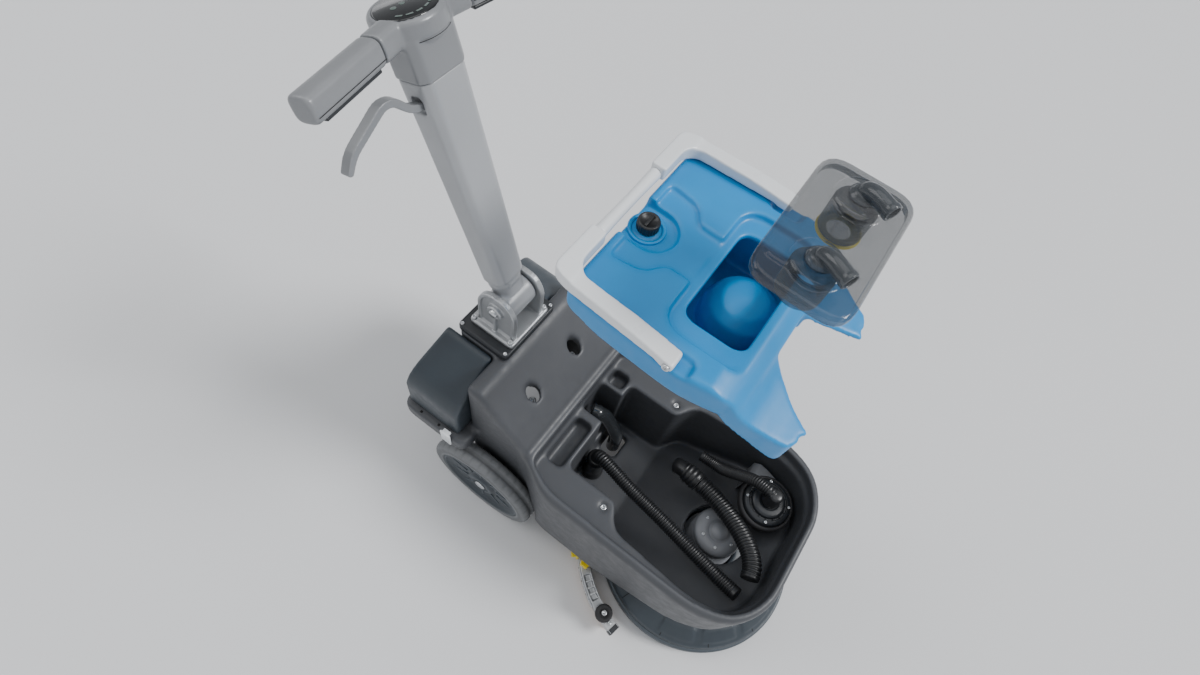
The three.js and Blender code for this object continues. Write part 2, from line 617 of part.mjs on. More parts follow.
// ---------------------------------------------------------------- tank, where it sits on the chassis
function tankShell() {
  const { top, seat, half, back, front } = TANK;
  const plan = mirrored([[0, back, 1], [half - 11, back, 16], [half - 6, 40, 60], [half - 2, -48, 40],
    [131, -96, 30],
    [118, front, 10], [0, front, 1]]);
  const side = slab([[back + 2, top + 2, 10], [back + 2, 340, 6], [52, seat, 6], [front - 4, seat, 6],
    [front - 4, 342, 14], [-96, 360, 16], [-70, top + 2, 30]], -160, 160);
  const upper = prism(plan, seat - 2, top, 7, 4).intersect(side);
  const hullTop = rectangle(-100, 100, -96, 38, 24);
  const hull = prism(hullTop, 268, seat + 8, 6, 3);
  let tank = upper.add(hull);
  for (const [, s] of SIDES) tank = tank.add(tankWing(s));
  // the recess round the opening, and the channel to the filler
  tank = tank.subtract(prism(rectangle(-OPENING.recessHalf, OPENING.recessHalf, OPENING.recessFront,
    OPENING.recessBack, 30), 361, 400, 0, 5));
  const channel = mirrored([[0, -10, 1], [36, -10, 2], [36, 40, 10], [60, 56, 12], [66, 98, 8], [0, 98, 1]]);
  tank = tank.subtract(prism(channel, 363.5, 400, 0, 3));
  tank = tank.subtract(rod('z', FILLER.recessR, 356, 400, [0, FILLER.recessY], 28));
  tank = tank.subtract(prism(rectangle(-FILLER.recessR, FILLER.recessR, FILLER.recessY, 130, 0), 356, 400));
  for (const [, s] of SIDES) {
    tank = tank.subtract(prism(rectangle(s * 117, s * 160, -50, -8, 8), 364, 400, 0, 3));
  }
  // the inside, open at the top
  const wall = 6;
  const inside = prism(rectangle(-94, 94, -90, 32, 20), 268 + wall, seat + wall + 10, 6, 4);
  const upperInside = prism(rectangle(-120, 120, -96, 44, 30), seat + wall, 352, 0, 4);
  const duct = box(-10, 10, 40, FILLER.y - 4, 343, 352);
  const room = join(inside, upperInside, duct);
  const dome = turned([[0, 274], [48, 274], [48, 296], [42, 314], [28, 326], [0, 331]], 16, -50, 26);
  tank = tank.subtract(room.subtract(dome));
  tank = tank.subtract(prism(rectangle(-OPENING.half, OPENING.half, OPENING.front, OPENING.back, 16), 345,
    400, 0, 4));
  const neck = rod('z', FILLER.capR, 342, 360, [0, FILLER.y], 28);
  return tank.add(neck).subtract(rod('z', FILLER.boreR, 343, 400, [0, FILLER.y], 24)).subtract(duct);
}

function tankWing(side) {
  const plan = [[30, -96, 4], [34, -113, 14], [62, -158, 10], [76, -189, 4], [106, -176, 6], [131, -96, 30],
    [118, -60, 10], [60, -70, 10]];
  const placed = side < 0 ? plan.map(([x, y, r]) => [-x, y, r]) : plan;
  const ordered = area(placed) > 0 ? placed : placed.reverse();
  const profile = slab([[-44, 360, 10], [-100, 356, 10], [-124, 330, 14], [-160, 314, 8], [-192, 306, 2],
    [-192, 262, 2],
    [-168, 266, 10], [-88, 324, 10], [-44, 326, 4]], -150, 150);
  const wing = prism(ordered, 255, 362, 0, 3).intersect(profile);
  const notch = rod('z', 9, 240, 340, [side * 86, -190], 20);
  // the wing is a thin roof with a deep outer skirt, open towards the middle
  const inner = [[10, -118, 0], [30, -128, 0], [56, -170, 0], [70, -215, 0], [88, -215, 0], [100, -170, 8],
    [118, -114, 8]];
  const hollow = side < 0 ? inner.map(([x, y, r]) => [-x, y, r]) : inner;
  const room = prism(area(hollow) > 0 ? hollow : hollow.reverse(), 240, 360, 0, 3)
    .intersect(profile.translate([0, 0, -8]));
  return wing.subtract(notch).subtract(room);
}

function fillerCap() {
  const { y, capR, capTop } = FILLER;
  return turned([[0, 360.4], [capR, 360.4], [capR, capTop - 4], [capR - 2.5, capTop - 0.5], [0, capTop]], 0, y, 30);
}

function handleArm(side) {
  const { pivotY, pivotZ, top, outer, rearOuter } = HANDLE;
  const plan = [[58, 108, 3], [104, 108, 14], [117, 96, 12], [122, pivotY - 7, 3], [outer, pivotY - 7, 3],
    [rearOuter + 1, 110, 16], [rearOuter - 6, 128, 14], [58, 128, 3]].map(([x, y, r]) => [side * x, y, r]);
  const profile = slab([[pivotY - 8, pivotZ - 7, 5], [pivotY - 8, pivotZ + 5, 5], [20, top - 2, 14], [100,
    top, 10],
    [102, top + 2, 4], [130, top + 2, 4], [130, top - 17.5, 6], [20, 371.5, 4], [-12, 371.5, 4], [-14,
      pivotZ - 7, 4]],
  -170, 170);
  return prism(area(plan) > 0 ? plan : plan.reverse(), 340, 420, 0, 3).intersect(profile);
}

function handleGrip() {
  return rod('x', 8, -58 + GAP, 58 - GAP, [HANDLE.gripY, HANDLE.top - 10], 20);
}

// ---------------------------------------------------------------- lid, where it sits on the tank
function lidCover() {
  const { half, back, front, low, top } = LID;
  const outline = rectangle(-half, half, front, back, 26);
  const shell = prism(outline, low, top, 3, 5);
  const hollow = prism(offset(outline, -4), low - 5, top - 4, 0, 5);
  let lid = shell.subtract(hollow);
  const step = prism(rectangle(-half + 22, half - 22, LID.cupY + 6, back - 8, 8), top - 2, top + 2, 1, 4);
  lid = lid.add(step);
  for (const [, side] of SIDES) {
    const x = side * LID.cupX;
    lid = lid.add(turned([[0, top - 3], [27, top - 3], [27, top + 4], [24, top + 7], [0, top + 7]], x,
      LID.cupY, 28));
    lid = lid.subtract(rod('z', 12, low - 5, top + 20, [x, LID.cupY], 20));
  }
  return lid;
}

function filterCup(side) {
  const x = side * LID.cupX;
  const { low, top } = LID;
  return turned([[18, low - 26], [23, low - 26], [23, top - 4 - GAP], [18, top - 4 - GAP]], x, LID.cupY, 26);
}

function cupGasket(side) {
  const x = side * LID.cupX;
  const { low } = LID;
  return turned([[13, low - 30], [24, low - 30], [24, low - 26 - GAP], [13, low - 26 - GAP]], x, LID.cupY,
    26);
}

function lidElbow(side) {
  const x = side * LID.cupX;
  const base = LID.top + 7 + GAP;
  const foot = turned([[0, base], [14, base], [14, base + 3], [11, base + 6], [0, base + 6]], x, LID.cupY,
    24);
  const y = LID.cupY;
  const bend = pipe([[x, y, base + 2], [x - 0.5, y - 1, base + 8], [x - 4, y - 8, base + 12], [x - 9,
    y - 18, base + 13],
    [x - 15, y - 30, base + 13]], 9.5, 12, 7);
  return foot.add(bend);
}

// ---------------------------------------------------------------- the assembly
add('chassis_tub', chassisTub(), CHASSIS_GREY);
add('front_light_strip', lightStrip(), LIGHT);
add('centre_plate', centrePlate(), SLATE);
add('battery_latch_right', batteryLatch(), WHITE);
add('mast_bracket', mastBracket(), CAST);
add('hinge_pin', rod('x', 7.7, -50, 50, [PIVOT.y, PIVOT.z], 24), STEEL);
[[-46.6, 248], [46.6, 248], [-46.6, 328], [46.6, 328]].forEach(([x, y], i) => {
  add(`bracket_screw_${i + 1}`, bracketScrew(x, y), STEEL);
});
add('axle', rod('x', AXLE_R, -198, 198, [WHEEL.y, WHEEL.r], 24), STEEL);
add('brush_motor', brushMotor(), LIGHT_GREY);
add('motor_cradle', motorCradle(), LIGHT_GREY);
add('vac_motor', vacMotor(), DARK_SLATE);
add('vac_motor_seal', vacMotorSeal(), RUBBER);
add('long_hose', hoseCollar().add(pipe(LONG_HOSE, HOSE_R, 10, 26)), BLACK);
add('loop_hose', pipe(LOOP_HOSE, 18, 10, 12), BLACK);
add('hose_cuff', hoseCuff(), BLACK);
add('motor_hose', motorHose(), BLACK);
add('suction_elbow', pipe(SUCTION_ELBOW, 15, 12, 14), DARK_SLATE);
add('deck_cover', deckCover(), SLATE);
add('deck_skirt', deckSkirt(), DARK_SLATE);
add('brush_disc', brushDisc(), SLATE);
add('brush_bristles', brushBristles(), BLUE);
add('squeegee_carrier', squeegeeCarrier(), CAST);
add('squeegee_bar', squeegeeBar(), CAST);
add('squeegee_blade', squeegeeBlade(), TAN);

for (const [name, side] of SIDES) {
  add(`battery_box_${name}`, batteryBox(side), SLATE);
  add(`ledge_screw_${name}`, rod('z', 6, 314 + GAP, 319, [side * 128, -39], 20), STEEL);
  add(`tyre_${name}`, tyre(side), LIGHT_RUBBER);
  add(`wheel_hub_${name}`, wheelHub(side), SLATE);
  add(`squeegee_knob_${name}`, squeegeeKnob(side), YELLOW);
  add(`squeegee_latch_${name}`, squeegeeLatch(side), YELLOW);
  add(`bumper_wheel_${name}`, bumperWheel(side), RUBBER);
}

const mast = new THREE.Group();
mast.position.set(0, PIVOT.y, PIVOT.z);
mast.rotation.x = MAST_TILT;
machine.add(mast);
add('mast_tube', mastTube(), MAST_GREY, mast);
add('head_housing', headHousing(), MAST_GREY, mast);
add('display_lens', displayLens(), GLASS, mast);
add('release_lever', releaseLever(), MAST_GREY, mast);
for (const [name, side] of SIDES) {
  add(`grip_${name}`, handGrip(side), MAST_GREY, mast);
  const trigger = add(`trigger_${name}`, gripTrigger(side), DARK_SLATE, mast);
  trigger.position.set(0, 4, HEAD.s);
}

const tank = new THREE.Group();
tank.position.z = TANK_LIFT;
machine.add(tank);
add('tank_shell', tankShell(), BLUE, tank);
add('filler_cap', fillerCap(), BLACK, tank);
add('handle_grip', handleGrip(), WHITE, tank);
for (const [name, side] of SIDES) add(`handle_arm_${name}`, handleArm(side), WHITE, tank);

const lid = new THREE.Group();
lid.position.set(0, LID_SHIFT.y, TANK_LIFT + LID_SHIFT.z);
machine.add(lid);
add('lid_cover', lidCover(), SMOKE, lid);
for (const [name, side] of SIDES) {
  add(`filter_cup_${name}`, filterCup(side), SMOKE, lid);
  add(`lid_elbow_${name}`, lidElbow(side), SMOKE, lid);
}
add('cup_gasket_left', cupGasket(1), YELLOW, lid);

export default machine;
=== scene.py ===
"""The looks of a walk-behind floor scrubber drier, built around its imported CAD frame. Units are metres."""
import json
import math

import bmesh
import bpy
from mathutils import Matrix, Vector


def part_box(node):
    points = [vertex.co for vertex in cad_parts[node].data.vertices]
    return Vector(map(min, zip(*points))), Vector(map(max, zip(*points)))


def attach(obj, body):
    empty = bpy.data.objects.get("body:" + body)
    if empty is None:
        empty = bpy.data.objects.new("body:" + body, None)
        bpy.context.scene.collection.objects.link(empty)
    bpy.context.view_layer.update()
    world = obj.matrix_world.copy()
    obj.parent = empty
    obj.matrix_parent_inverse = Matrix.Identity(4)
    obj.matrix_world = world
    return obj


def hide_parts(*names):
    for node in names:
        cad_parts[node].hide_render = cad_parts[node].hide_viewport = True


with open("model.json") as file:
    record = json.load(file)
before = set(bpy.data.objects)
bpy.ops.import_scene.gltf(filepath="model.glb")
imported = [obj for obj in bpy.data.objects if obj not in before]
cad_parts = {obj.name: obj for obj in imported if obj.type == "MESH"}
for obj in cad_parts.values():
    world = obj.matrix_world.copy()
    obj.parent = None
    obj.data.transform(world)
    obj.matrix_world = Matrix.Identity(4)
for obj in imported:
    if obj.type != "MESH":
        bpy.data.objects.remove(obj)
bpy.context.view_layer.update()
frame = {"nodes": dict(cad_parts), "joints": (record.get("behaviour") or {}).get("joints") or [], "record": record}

SIDES = (("right", -1), ("left", 1))
MM = 0.001


def mm(*values):
    return [v * MM for v in values]


def middle(node):
    low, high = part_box(node)
    return (low + high) / 2


# The row frame's origin sits under the middle of the machine; the design's own Y is this much larger.
CENTRE_Y = 9.9
DECK_Y = middle("brush_disc").y / MM + CENTRE_Y


def spot(x, y, z):
    """A place given in the design's millimetres, in the row frame's metres."""
    return Vector((x * MM, (y - CENTRE_Y) * MM, z * MM))


def joint(name):
    return [j for j in frame["joints"] if j["name"] == name][0]


PIVOT = Vector(joint("mast_tilt")["pos_m"])
MAST_LEAN = Matrix.Rotation(math.radians(-18), 3, "X")


def on_mast(x, y, s):
    """A place in the mast's own upright frame, which leans back about its pivot."""
    return PIVOT + MAST_LEAN @ Vector((x * MM, y * MM, s * MM))


# ---------------------------------------------------------------- the camera
CAMERA_AT = Vector((-0.443, -0.0811, 1.4821))
CAMERA_AIM = Vector((1.0249, 0.5140, -1.3717))
CAMERA_ROLL = math.radians(-15.32)
LENS_MM = 19.02


def add_camera():
    data = bpy.data.cameras.new("camera")
    data.lens = LENS_MM
    data.sensor_width = 36
    data.clip_start = 0.01
    camera = bpy.data.objects.new("camera", data)
    bpy.context.scene.collection.objects.link(camera)
    ahead = (CAMERA_AIM - CAMERA_AT).normalized()
    across = ahead.cross(Vector((0, 0, 1))).normalized()
    down = ahead.cross(across)
    c, s = math.cos(CAMERA_ROLL), math.sin(CAMERA_ROLL)
    right = across * c + down * s
    low = down * c - across * s
    turn = Matrix((right, -low, -ahead)).transposed()
    camera.matrix_world = Matrix.Translation(CAMERA_AT) @ turn.to_4x4()
    bpy.context.scene.camera = camera


# ---------------------------------------------------------------- materials
class Graph:
    """A short way to add shader nodes to a material."""

    def __init__(self, name):
        self.material = bpy.data.materials.new(name)
        self.material.use_nodes = True
        self.tree = self.material.node_tree
        self.shader = self.tree.nodes["Principled BSDF"]
        self.place = self.node("ShaderNodeTexCoord").outputs["Object"]

    def node(self, kind, **settings):
        made = self.tree.nodes.new(kind)
        for key, value in settings.items():
            setattr(made, key, value)
        return made

    def link(self, a, b):
        self.tree.links.new(a, b)

    def noise(self, scale, detail=3.0, stretch=(1, 1, 1)):
        found = self.node("ShaderNodeTexNoise")
        found.inputs["Scale"].default_value = scale
        found.inputs["Detail"].default_value = detail
        mapping = self.node("ShaderNodeMapping")
        mapping.inputs["Scale"].default_value = stretch
        self.link(self.place, mapping.inputs["Vector"])
        self.link(mapping.outputs["Vector"], found.inputs["Vector"])
        return found.outputs["Fac"]

    def spread(self, value, low, high, start=0.3, end=0.7):
        found = self.node("ShaderNodeMapRange")
        found.inputs["From Min"].default_value = start
        found.inputs["From Max"].default_value = end
        found.inputs["To Min"].default_value = low
        found.inputs["To Max"].default_value = high
        self.link(value, found.inputs["Value"])
        return found.outputs["Result"]

    def mix(self, share, a, b):
        found = self.node("ShaderNodeMix", data_type="RGBA")
        self.link(share, found.inputs["Factor"])
        for key, value in (("A", a), ("B", b)):
            socket = [i for i in found.inputs if i.name == key and i.type == "RGBA"][0]
            if isinstance(value, tuple):
                socket.default_value = (*value, 1)
            else:
                self.link(value, socket)
        return [o for o in found.outputs if o.type == "RGBA"][0]

    def bump(self, height, strength, distance):
        found = self.node("ShaderNodeBump")
        found.inputs["Strength"].default_value = strength
        found.inputs["Distance"].default_value = distance
        self.link(height, found.inputs["Height"])
        self.link(found.outputs["Normal"], self.shader.inputs["Normal"])


def linear(colour):
    """A display colour, 0 to 255, as linear light."""
    shares = [c / 255 for c in colour]
    return tuple(c / 12.92 if c <= 0.04045 else ((c + 0.055) / 1.055) ** 2.4 for c in shares)


def scaled(colour, k):
    return tuple(min(1.0, c * k) for c in colour)


# The pointiness at which the painted highlight on an edge starts, and at which it is at full strength.
HIGHLIGHT_FROM, HIGHLIGHT_FULLY = 0.505, 0.56


def moulded(name, colour, rough=0.45, metal=0.0, mottle=0.08, grain=900, depth=0.25, edge=0.35, coat=0.0,
            stretch=(1, 1, 1)):
    """A moulded, cast or painted finish: mottled colour, edges brightened as a painted highlight, uneven gloss, a
    fine grain.
    """
    g = Graph(name)
    base = linear(colour)
    cloud = g.spread(g.noise(14, 5), 0, 1)
    body = g.mix(cloud, scaled(base, 1 - mottle), scaled(base, 1 + mottle))
    # Sharp edges, found by pointiness, are brightened towards a lighter copy of the colour: a painted highlight of
    # light catching the rims.
    point = g.node("ShaderNodeNewGeometry").outputs["Pointiness"]
    edge_highlight = g.spread(point, 0, edge, HIGHLIGHT_FROM, HIGHLIGHT_FULLY)
    g.link(g.mix(edge_highlight, body, scaled(base, 1.9)), g.shader.inputs["Base Color"])
    g.link(g.spread(g.noise(60, 4, stretch), rough - 0.06, rough + 0.07), g.shader.inputs["Roughness"])
    g.shader.inputs["Metallic"].default_value = metal
    g.shader.inputs["Coat Weight"].default_value = coat
    g.shader.inputs["Coat Roughness"].default_value = 0.2
    g.bump(g.noise(grain, 2, stretch), depth, 0.0004)
    return g.material


def fibre(name, colour):
    """Nylon filament: fine upright streaks."""
    g = Graph(name)
    base = linear(colour)
    streak = g.noise(700, 2, (1, 1, 0.06))
    colours = g.mix(g.spread(streak, 0, 1), scaled(base, 0.55), scaled(base, 1.3))
    g.link(colours, g.shader.inputs["Base Color"])
    g.link(g.spread(streak, 0.4, 0.7), g.shader.inputs["Roughness"])
    g.bump(streak, 0.5, 0.0006)
    return g.material


def smoky(name, colour, alpha, rough=0.1):
    """Tinted clear plastic that shows what is behind it."""
    g = Graph(name)
    base = linear(colour)
    cloud = g.spread(g.noise(18, 4), 0, 1)
    g.link(g.mix(cloud, scaled(base, 0.9), scaled(base, 1.1)), g.shader.inputs["Base Color"])
    g.link(g.spread(g.noise(90, 4), rough - 0.04, rough + 0.06), g.shader.inputs["Roughness"])
    g.shader.inputs["Alpha"].default_value = alpha
    g.shader.inputs["Coat Weight"].default_value = 0.4
    g.bump(g.noise(260, 2), 0.04, 0.0005)
    return g.material


def brushed(name, colour, rough=0.3):
    return moulded(name, colour, rough, 1.0, 0.05, 500, 0.12, 0.2, stretch=(1, 14, 1))


LOOKS = {
    "chassis_plastic": moulded("chassis_plastic", (66, 68, 72), 0.46, mottle=0.03, depth=0.3, edge=0.22),
    "light_lens": moulded("light_lens", (222, 226, 226), 0.25, depth=0.1, coat=0.5),
    "slate_plastic": moulded("slate_plastic", (50, 58, 65), 0.42, edge=0.5),
    "dark_plastic": moulded("dark_plastic", (33, 36, 40), 0.4, edge=0.4),
    "white_plastic": moulded("white_plastic", (226, 229, 232), 0.32, mottle=0.02, depth=0.12, edge=0.0,
                             coat=0.3),
    "cast_aluminium": moulded("cast_aluminium", (176, 178, 180), 0.4, 0.85, 0.08, 1400, 0.5),
    "steel": brushed("steel", (196, 199, 202)),
    "light_grey_plastic": moulded("light_grey_plastic", (112, 114, 118), 0.45),
    "black_rubber": moulded("black_rubber", (34, 34, 36), 0.7, grain=600, depth=0.4, edge=0.3),
    "hose_black": moulded("hose_black", (30, 31, 33), 0.36, depth=0.15, edge=0.5),
    "brush_fibre": fibre("brush_fibre", (56, 118, 168)),
    "squeegee_rubber": moulded("squeegee_rubber", (176, 138, 94), 0.62, depth=0.3),
    "yellow_plastic": moulded("yellow_plastic", (233, 202, 30), 0.38, mottle=0.04, depth=0.15),
    "wheel_rubber": moulded("wheel_rubber", (104, 106, 108), 0.66, grain=700, depth=0.4),
    "mast_paint": moulded("mast_paint", (158, 160, 163), 0.36, 0.1, 0.03, 1500, 0.18, 0.15, 0.3),
    "display_glass": moulded("display_glass", (12, 14, 16), 0.1, depth=0.02, coat=0.6),
    "tank_blue": moulded("tank_blue", (8, 134, 200), 0.38, mottle=0.05, grain=1100, depth=0.22, edge=0.2),
    "smoky_clear": smoky("smoky_clear", (58, 63, 68), 0.5),
    "smoky_dark": smoky("smoky_dark", (74, 79, 84), 0.66, 0.2),
    # The head, grips and lever take a darker grey than the tube: partly their own tone, partly painted shade for
    # the light falling off towards the top.
    "head_paint_and_shade": moulded("head_paint_and_shade", (128, 130, 133), 0.38, 0.1, 0.03, 1500, 0.18, 0.15, 0.25),
    "slate_rim": moulded("slate_rim", (54, 61, 67), 0.45, mottle=0.04, edge=0.5),
    "display_mark": moulded("display_mark", (84, 96, 92), 0.3, mottle=0.03, depth=0.02),
    "glossy_black": moulded("glossy_black", (40, 43, 46), 0.16, mottle=0.03, depth=0.03, edge=0.1,
                            coat=0.6),
}
# A near-black for dark seams, and for flat squares that stand in for holes, where it is painted shade.
DARK_GAP = moulded("dark_gap", (14, 14, 15), 0.8)


# ---------------------------------------------------------------- making pieces
def place(name, mesh, body, slot, replaces=(), look=None):
    """Puts a finished mesh in the scene as a piece of the object."""
    piece = bpy.data.objects.new(name, mesh)
    bpy.context.scene.collection.objects.link(piece)
    mesh.materials.clear()
    mesh.materials.append(look or LOOKS[slot])
    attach(piece, body)
    if replaces:
        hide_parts(*replaces)
    return piece


def mesh_of(name, points, faces, smooth=True):
    mesh = bpy.data.meshes.new(name)
    mesh.from_pydata([tuple(p) for p in points], [], faces)
    mesh.polygons.foreach_set("use_smooth", [smooth] * len(mesh.polygons))
    return mesh


def outward(mesh):
    """Turns a closed mesh's faces to point out."""
    made = bmesh.new()
    made.from_mesh(mesh)
    bmesh.ops.recalc_face_normals(made, faces=made.faces)
    made.to_mesh(mesh)
    made.free()
    return mesh


def joined(name, *meshes):
    made = bmesh.new()
    for mesh in meshes:
        made.from_mesh(mesh)
    mesh = bpy.data.meshes.new(name)
    made.to_mesh(mesh)
    made.free()
    return mesh


def moved(mesh, offset=(0, 0, 0), turn=None):
    if turn is not None:
        mesh.transform(turn.to_4x4())
    mesh.transform(Matrix.Translation(offset))
    return mesh


def evaluated(name, source, modifiers):
    """The mesh that a stack of modifiers makes from a mesh."""
    holder = bpy.data.objects.new(name + "_source", source)
    bpy.context.scene.collection.objects.link(holder)
    for kind, settings in modifiers:
        modifier = holder.modifiers.new(kind, kind)
        for key, value in settings.items():
            setattr(modifier, key, value)
    view = bpy.context.evaluated_depsgraph_get()
    mesh = bpy.data.meshes.new_from_object(holder.evaluated_get(view))
    bpy.data.objects.remove(holder)
    mesh.name = name
    mesh.polygons.foreach_set("use_smooth", [True] * len(mesh.polygons))
    return mesh


def softened(name, node, voxel, passes):
    """A CAD node's own solid with a fine, rounded skin."""
    source = joined(name, frame["nodes"][node].data)
    return evaluated(name, source, [
        ("REMESH", {"mode": "VOXEL", "voxel_size": voxel}),
        ("SMOOTH", {"factor": 0.5, "iterations": passes}),
    ])


def skin(node, body, slot, voxel, passes, look=None):
    """Puts a softened skin in the place of its CAD node."""
    name = node + "_skin"
    place(name, softened(name, node, voxel, passes), body, slot, [node], look)


def crisp(name, node, bevel):
    """A CAD node's own solid with its sharp edges bevelled and the rest shaded smooth."""
    source = joined(name, frame["nodes"][node].data)
    made = bmesh.new()
    made.from_mesh(source)
    bmesh.ops.remove_doubles(made, verts=made.verts, dist=1e-6)
    bmesh.ops.dissolve_limit(made, angle_limit=math.radians(1), verts=made.verts, edges=made.edges)
    made.to_mesh(source)
    made.free()
    return evaluated(name, source, [bevelled(bevel, 32)])


def bevelled(width, degrees):
    """A bevel, for evaluated, of the edges that turn by more than the given angle."""
    return ("BEVEL", {"width": width, "segments": 2, "limit_method": "ANGLE",
                      "angle_limit": math.radians(degrees), "harden_normals": True})


# How far a body turned about Z is turned about Y to lie along another axis, in degrees.
AXIS_TURNS = {"X": 90, "-X": -90}


def turned(name, profile, centre=(0, 0, 0), axis="Z", steps=96, wave=None):
    """A body turned about an axis. profile is [radius, height]; wave moves a point's radius by its angle."""
    points, faces = [], []
    count = len(profile)
    for i in range(steps):
        angle = 2 * math.pi * i / steps
        for r, h in profile:
            radius = r if wave is None else wave(r, h, angle)
            points.append(Vector((math.cos(angle) * radius, math.sin(angle) * radius, h)))
    for i in range(steps):
        a, b = i * count, (i + 1) % steps * count
        for j in range(count - 1):
            faces.append((a + j, b + j, b + j + 1, a + j + 1))
    mesh = mesh_of(name, points, faces)
    made = bmesh.new()
    made.from_mesh(mesh)
    bmesh.ops.remove_doubles(made, verts=made.verts, dist=1e-7)
    bmesh.ops.recalc_face_normals(made, faces=made.faces)
    made.to_mesh(mesh)
    made.free()
    if axis in AXIS_TURNS:
        mesh.transform(Matrix.Rotation(math.radians(AXIS_TURNS[axis]), 4, "Y"))
    mesh.transform(Matrix.Translation(centre))
    return mesh


def smooth_profile(points, steps, cut=0.25):
    """A run of [radius, height] with each inner corner rounded over a share, cut, of the sides that meet."""
    found = [points[0]]
    for i in range(1, len(points) - 1):
        (px, py), (x, y), (nx, ny) = points[i - 1], points[i], points[i + 1]
        for k in range(steps + 1):
            t = k / steps
            ax, ay = x + (px - x) * cut, y + (py - y) * cut
            bx, by = x + (nx - x) * cut, y + (ny - y) * cut
            u = 1 - t
            found.append((u * u * ax + 2 * u * t * x + t * t * bx, u * u * ay + 2 * u * t * y + t * t * by))
    found.append(points[-1])
    return found


def curve_through(points, spacing):
    """Evenly spaced points on a smooth curve through the given ones."""
    points = [Vector(p) for p in points]
    ends = [points[0] * 2 - points[1], *points, points[-1] * 2 - points[-2]]
    fine = []
    for i in range(1, len(ends) - 2):
        p0, p1, p2, p3 = ends[i - 1:i + 3]
        for k in range(24):
            t = k / 24
            fine.append(0.5 * ((2 * p1) + (p2 - p0) * t + (2 * p0 - 5 * p1 + 4 * p2 - p3) * t * t
                               + (3 * p1 - p0 - 3 * p2 + p3) * t ** 3))
    fine.append(points[-1])
    lengths = [0.0]
    for a, b in zip(fine, fine[1:]):
        lengths.append(lengths[-1] + (b - a).length)
    count = max(2, round(lengths[-1] / spacing))
    found, k = [], 0
    for i in range(count + 1):
        want = lengths[-1] * i / count
        while k < len(lengths) - 2 and lengths[k + 1] < want:
            k += 1
        share = (want - lengths[k]) / max(lengths[k + 1] - lengths[k], 1e-9)
        found.append(fine[k].lerp(fine[k + 1], min(1.0, share)))
    return found


def tube(name, points, radius, sides=24, spacing=0.002, bore=None):
    """A closed round body along a curve. radius is a number, or a function of the distance along and the
    length. bore is the share of the radius that is hollow, open at both ends."""
    path = curve_through(points, spacing)
    length = sum((b - a).length for a, b in zip(path, path[1:]))
    frames = []
    normal = (path[1] - path[0]).orthogonal().normalized()
    for i, p in enumerate(path):
        ahead = (path[min(i + 1, len(path) - 1)] - path[max(i - 1, 0)]).normalized()
        normal = (normal - ahead * normal.dot(ahead)).normalized()
        r = radius(length * i / (len(path) - 1), length) if callable(radius) else radius
        frames.append((p, normal.copy(), ahead.cross(normal), r))
    rings = frames if bore is None else frames + [(p, n, o, r * bore) for p, n, o, r in reversed(frames)]
    vertices, faces = [], []
    for p, n, o, r in rings:
        for k in range(sides):
            angle = 2 * math.pi * k / sides
            vertices.append(p + (n * math.cos(angle) + o * math.sin(angle)) * r)
    spans = len(rings) if bore else len(rings) - 1
    for i in range(spans):
        j = (i + 1) % len(rings)
        for k in range(sides):
            m = (k + 1) % sides
            faces.append((i * sides + k, i * sides + m, j * sides + m, j * sides + k))
    if bore is None:
        last = (len(rings) - 1) * sides
        faces += [tuple(reversed(range(sides))), tuple(last + k for k in range(sides))]
    return outward(mesh_of(name, vertices, faces))


def corrugated(r, depth, pitch, plain=0.0):
    """A radius that ripples along a hose, with a plain stretch at each end."""
    def radius(along, length):
        if along < plain or along > length - plain:
            return r - depth * 0.3
        wave = 0.5 + 0.5 * math.cos(2 * math.pi * along / pitch)
        return r - depth * (1 - wave ** 0.6)
    return radius


def arc_sweep(name, profile, start, end, steps=120):
    """A closed section [radius, height], in millimetres, swept about the brush's centre. Angles are in
    degrees from straight back, and grow towards the machine's right."""
    vertices, faces = [], []
    count = len(profile)
    for i in range(steps + 1):
        angle = math.radians(start + (end - start) * i / steps)
        for r, z in profile:
            vertices.append(spot(-math.sin(angle) * r, DECK_Y + math.cos(angle) * r, z))
    for i in range(steps):
        for j in range(count):
            a, b = i * count + j, i * count + (j + 1) % count
            faces.append((a, b, b + count, a + count))
    faces.append(tuple(reversed(range(count))))
    faces.append(tuple(steps * count + j for j in range(count)))
    mesh = outward(mesh_of(name, vertices, faces))
    return evaluated(name, mesh, [bevelled(0.0007, 40)])


def on_arc(r, degrees, z):
    angle = math.radians(degrees)
    return spot(-math.sin(angle) * r, DECK_Y + math.cos(angle) * r, z)


def rounded_block(name, low, high, r, steps=4):
    """A box with rounded edges."""
    made = bmesh.new()
    bmesh.ops.create_cube(made, size=1)
    size, centre = Vector(high) - Vector(low), (Vector(high) + Vector(low)) / 2
    bmesh.ops.scale(made, vec=size, verts=made.verts)
    bmesh.ops.translate(made, vec=centre, verts=made.verts)
    bmesh.ops.bevel(made, geom=made.edges[:], offset=r, segments=steps, profile=0.5, affect="EDGES")
    mesh = bpy.data.meshes.new(name)
    made.to_mesh(mesh)
    made.free()
    mesh.polygons.foreach_set("use_smooth", [True] * len(mesh.polygons))
    return mesh


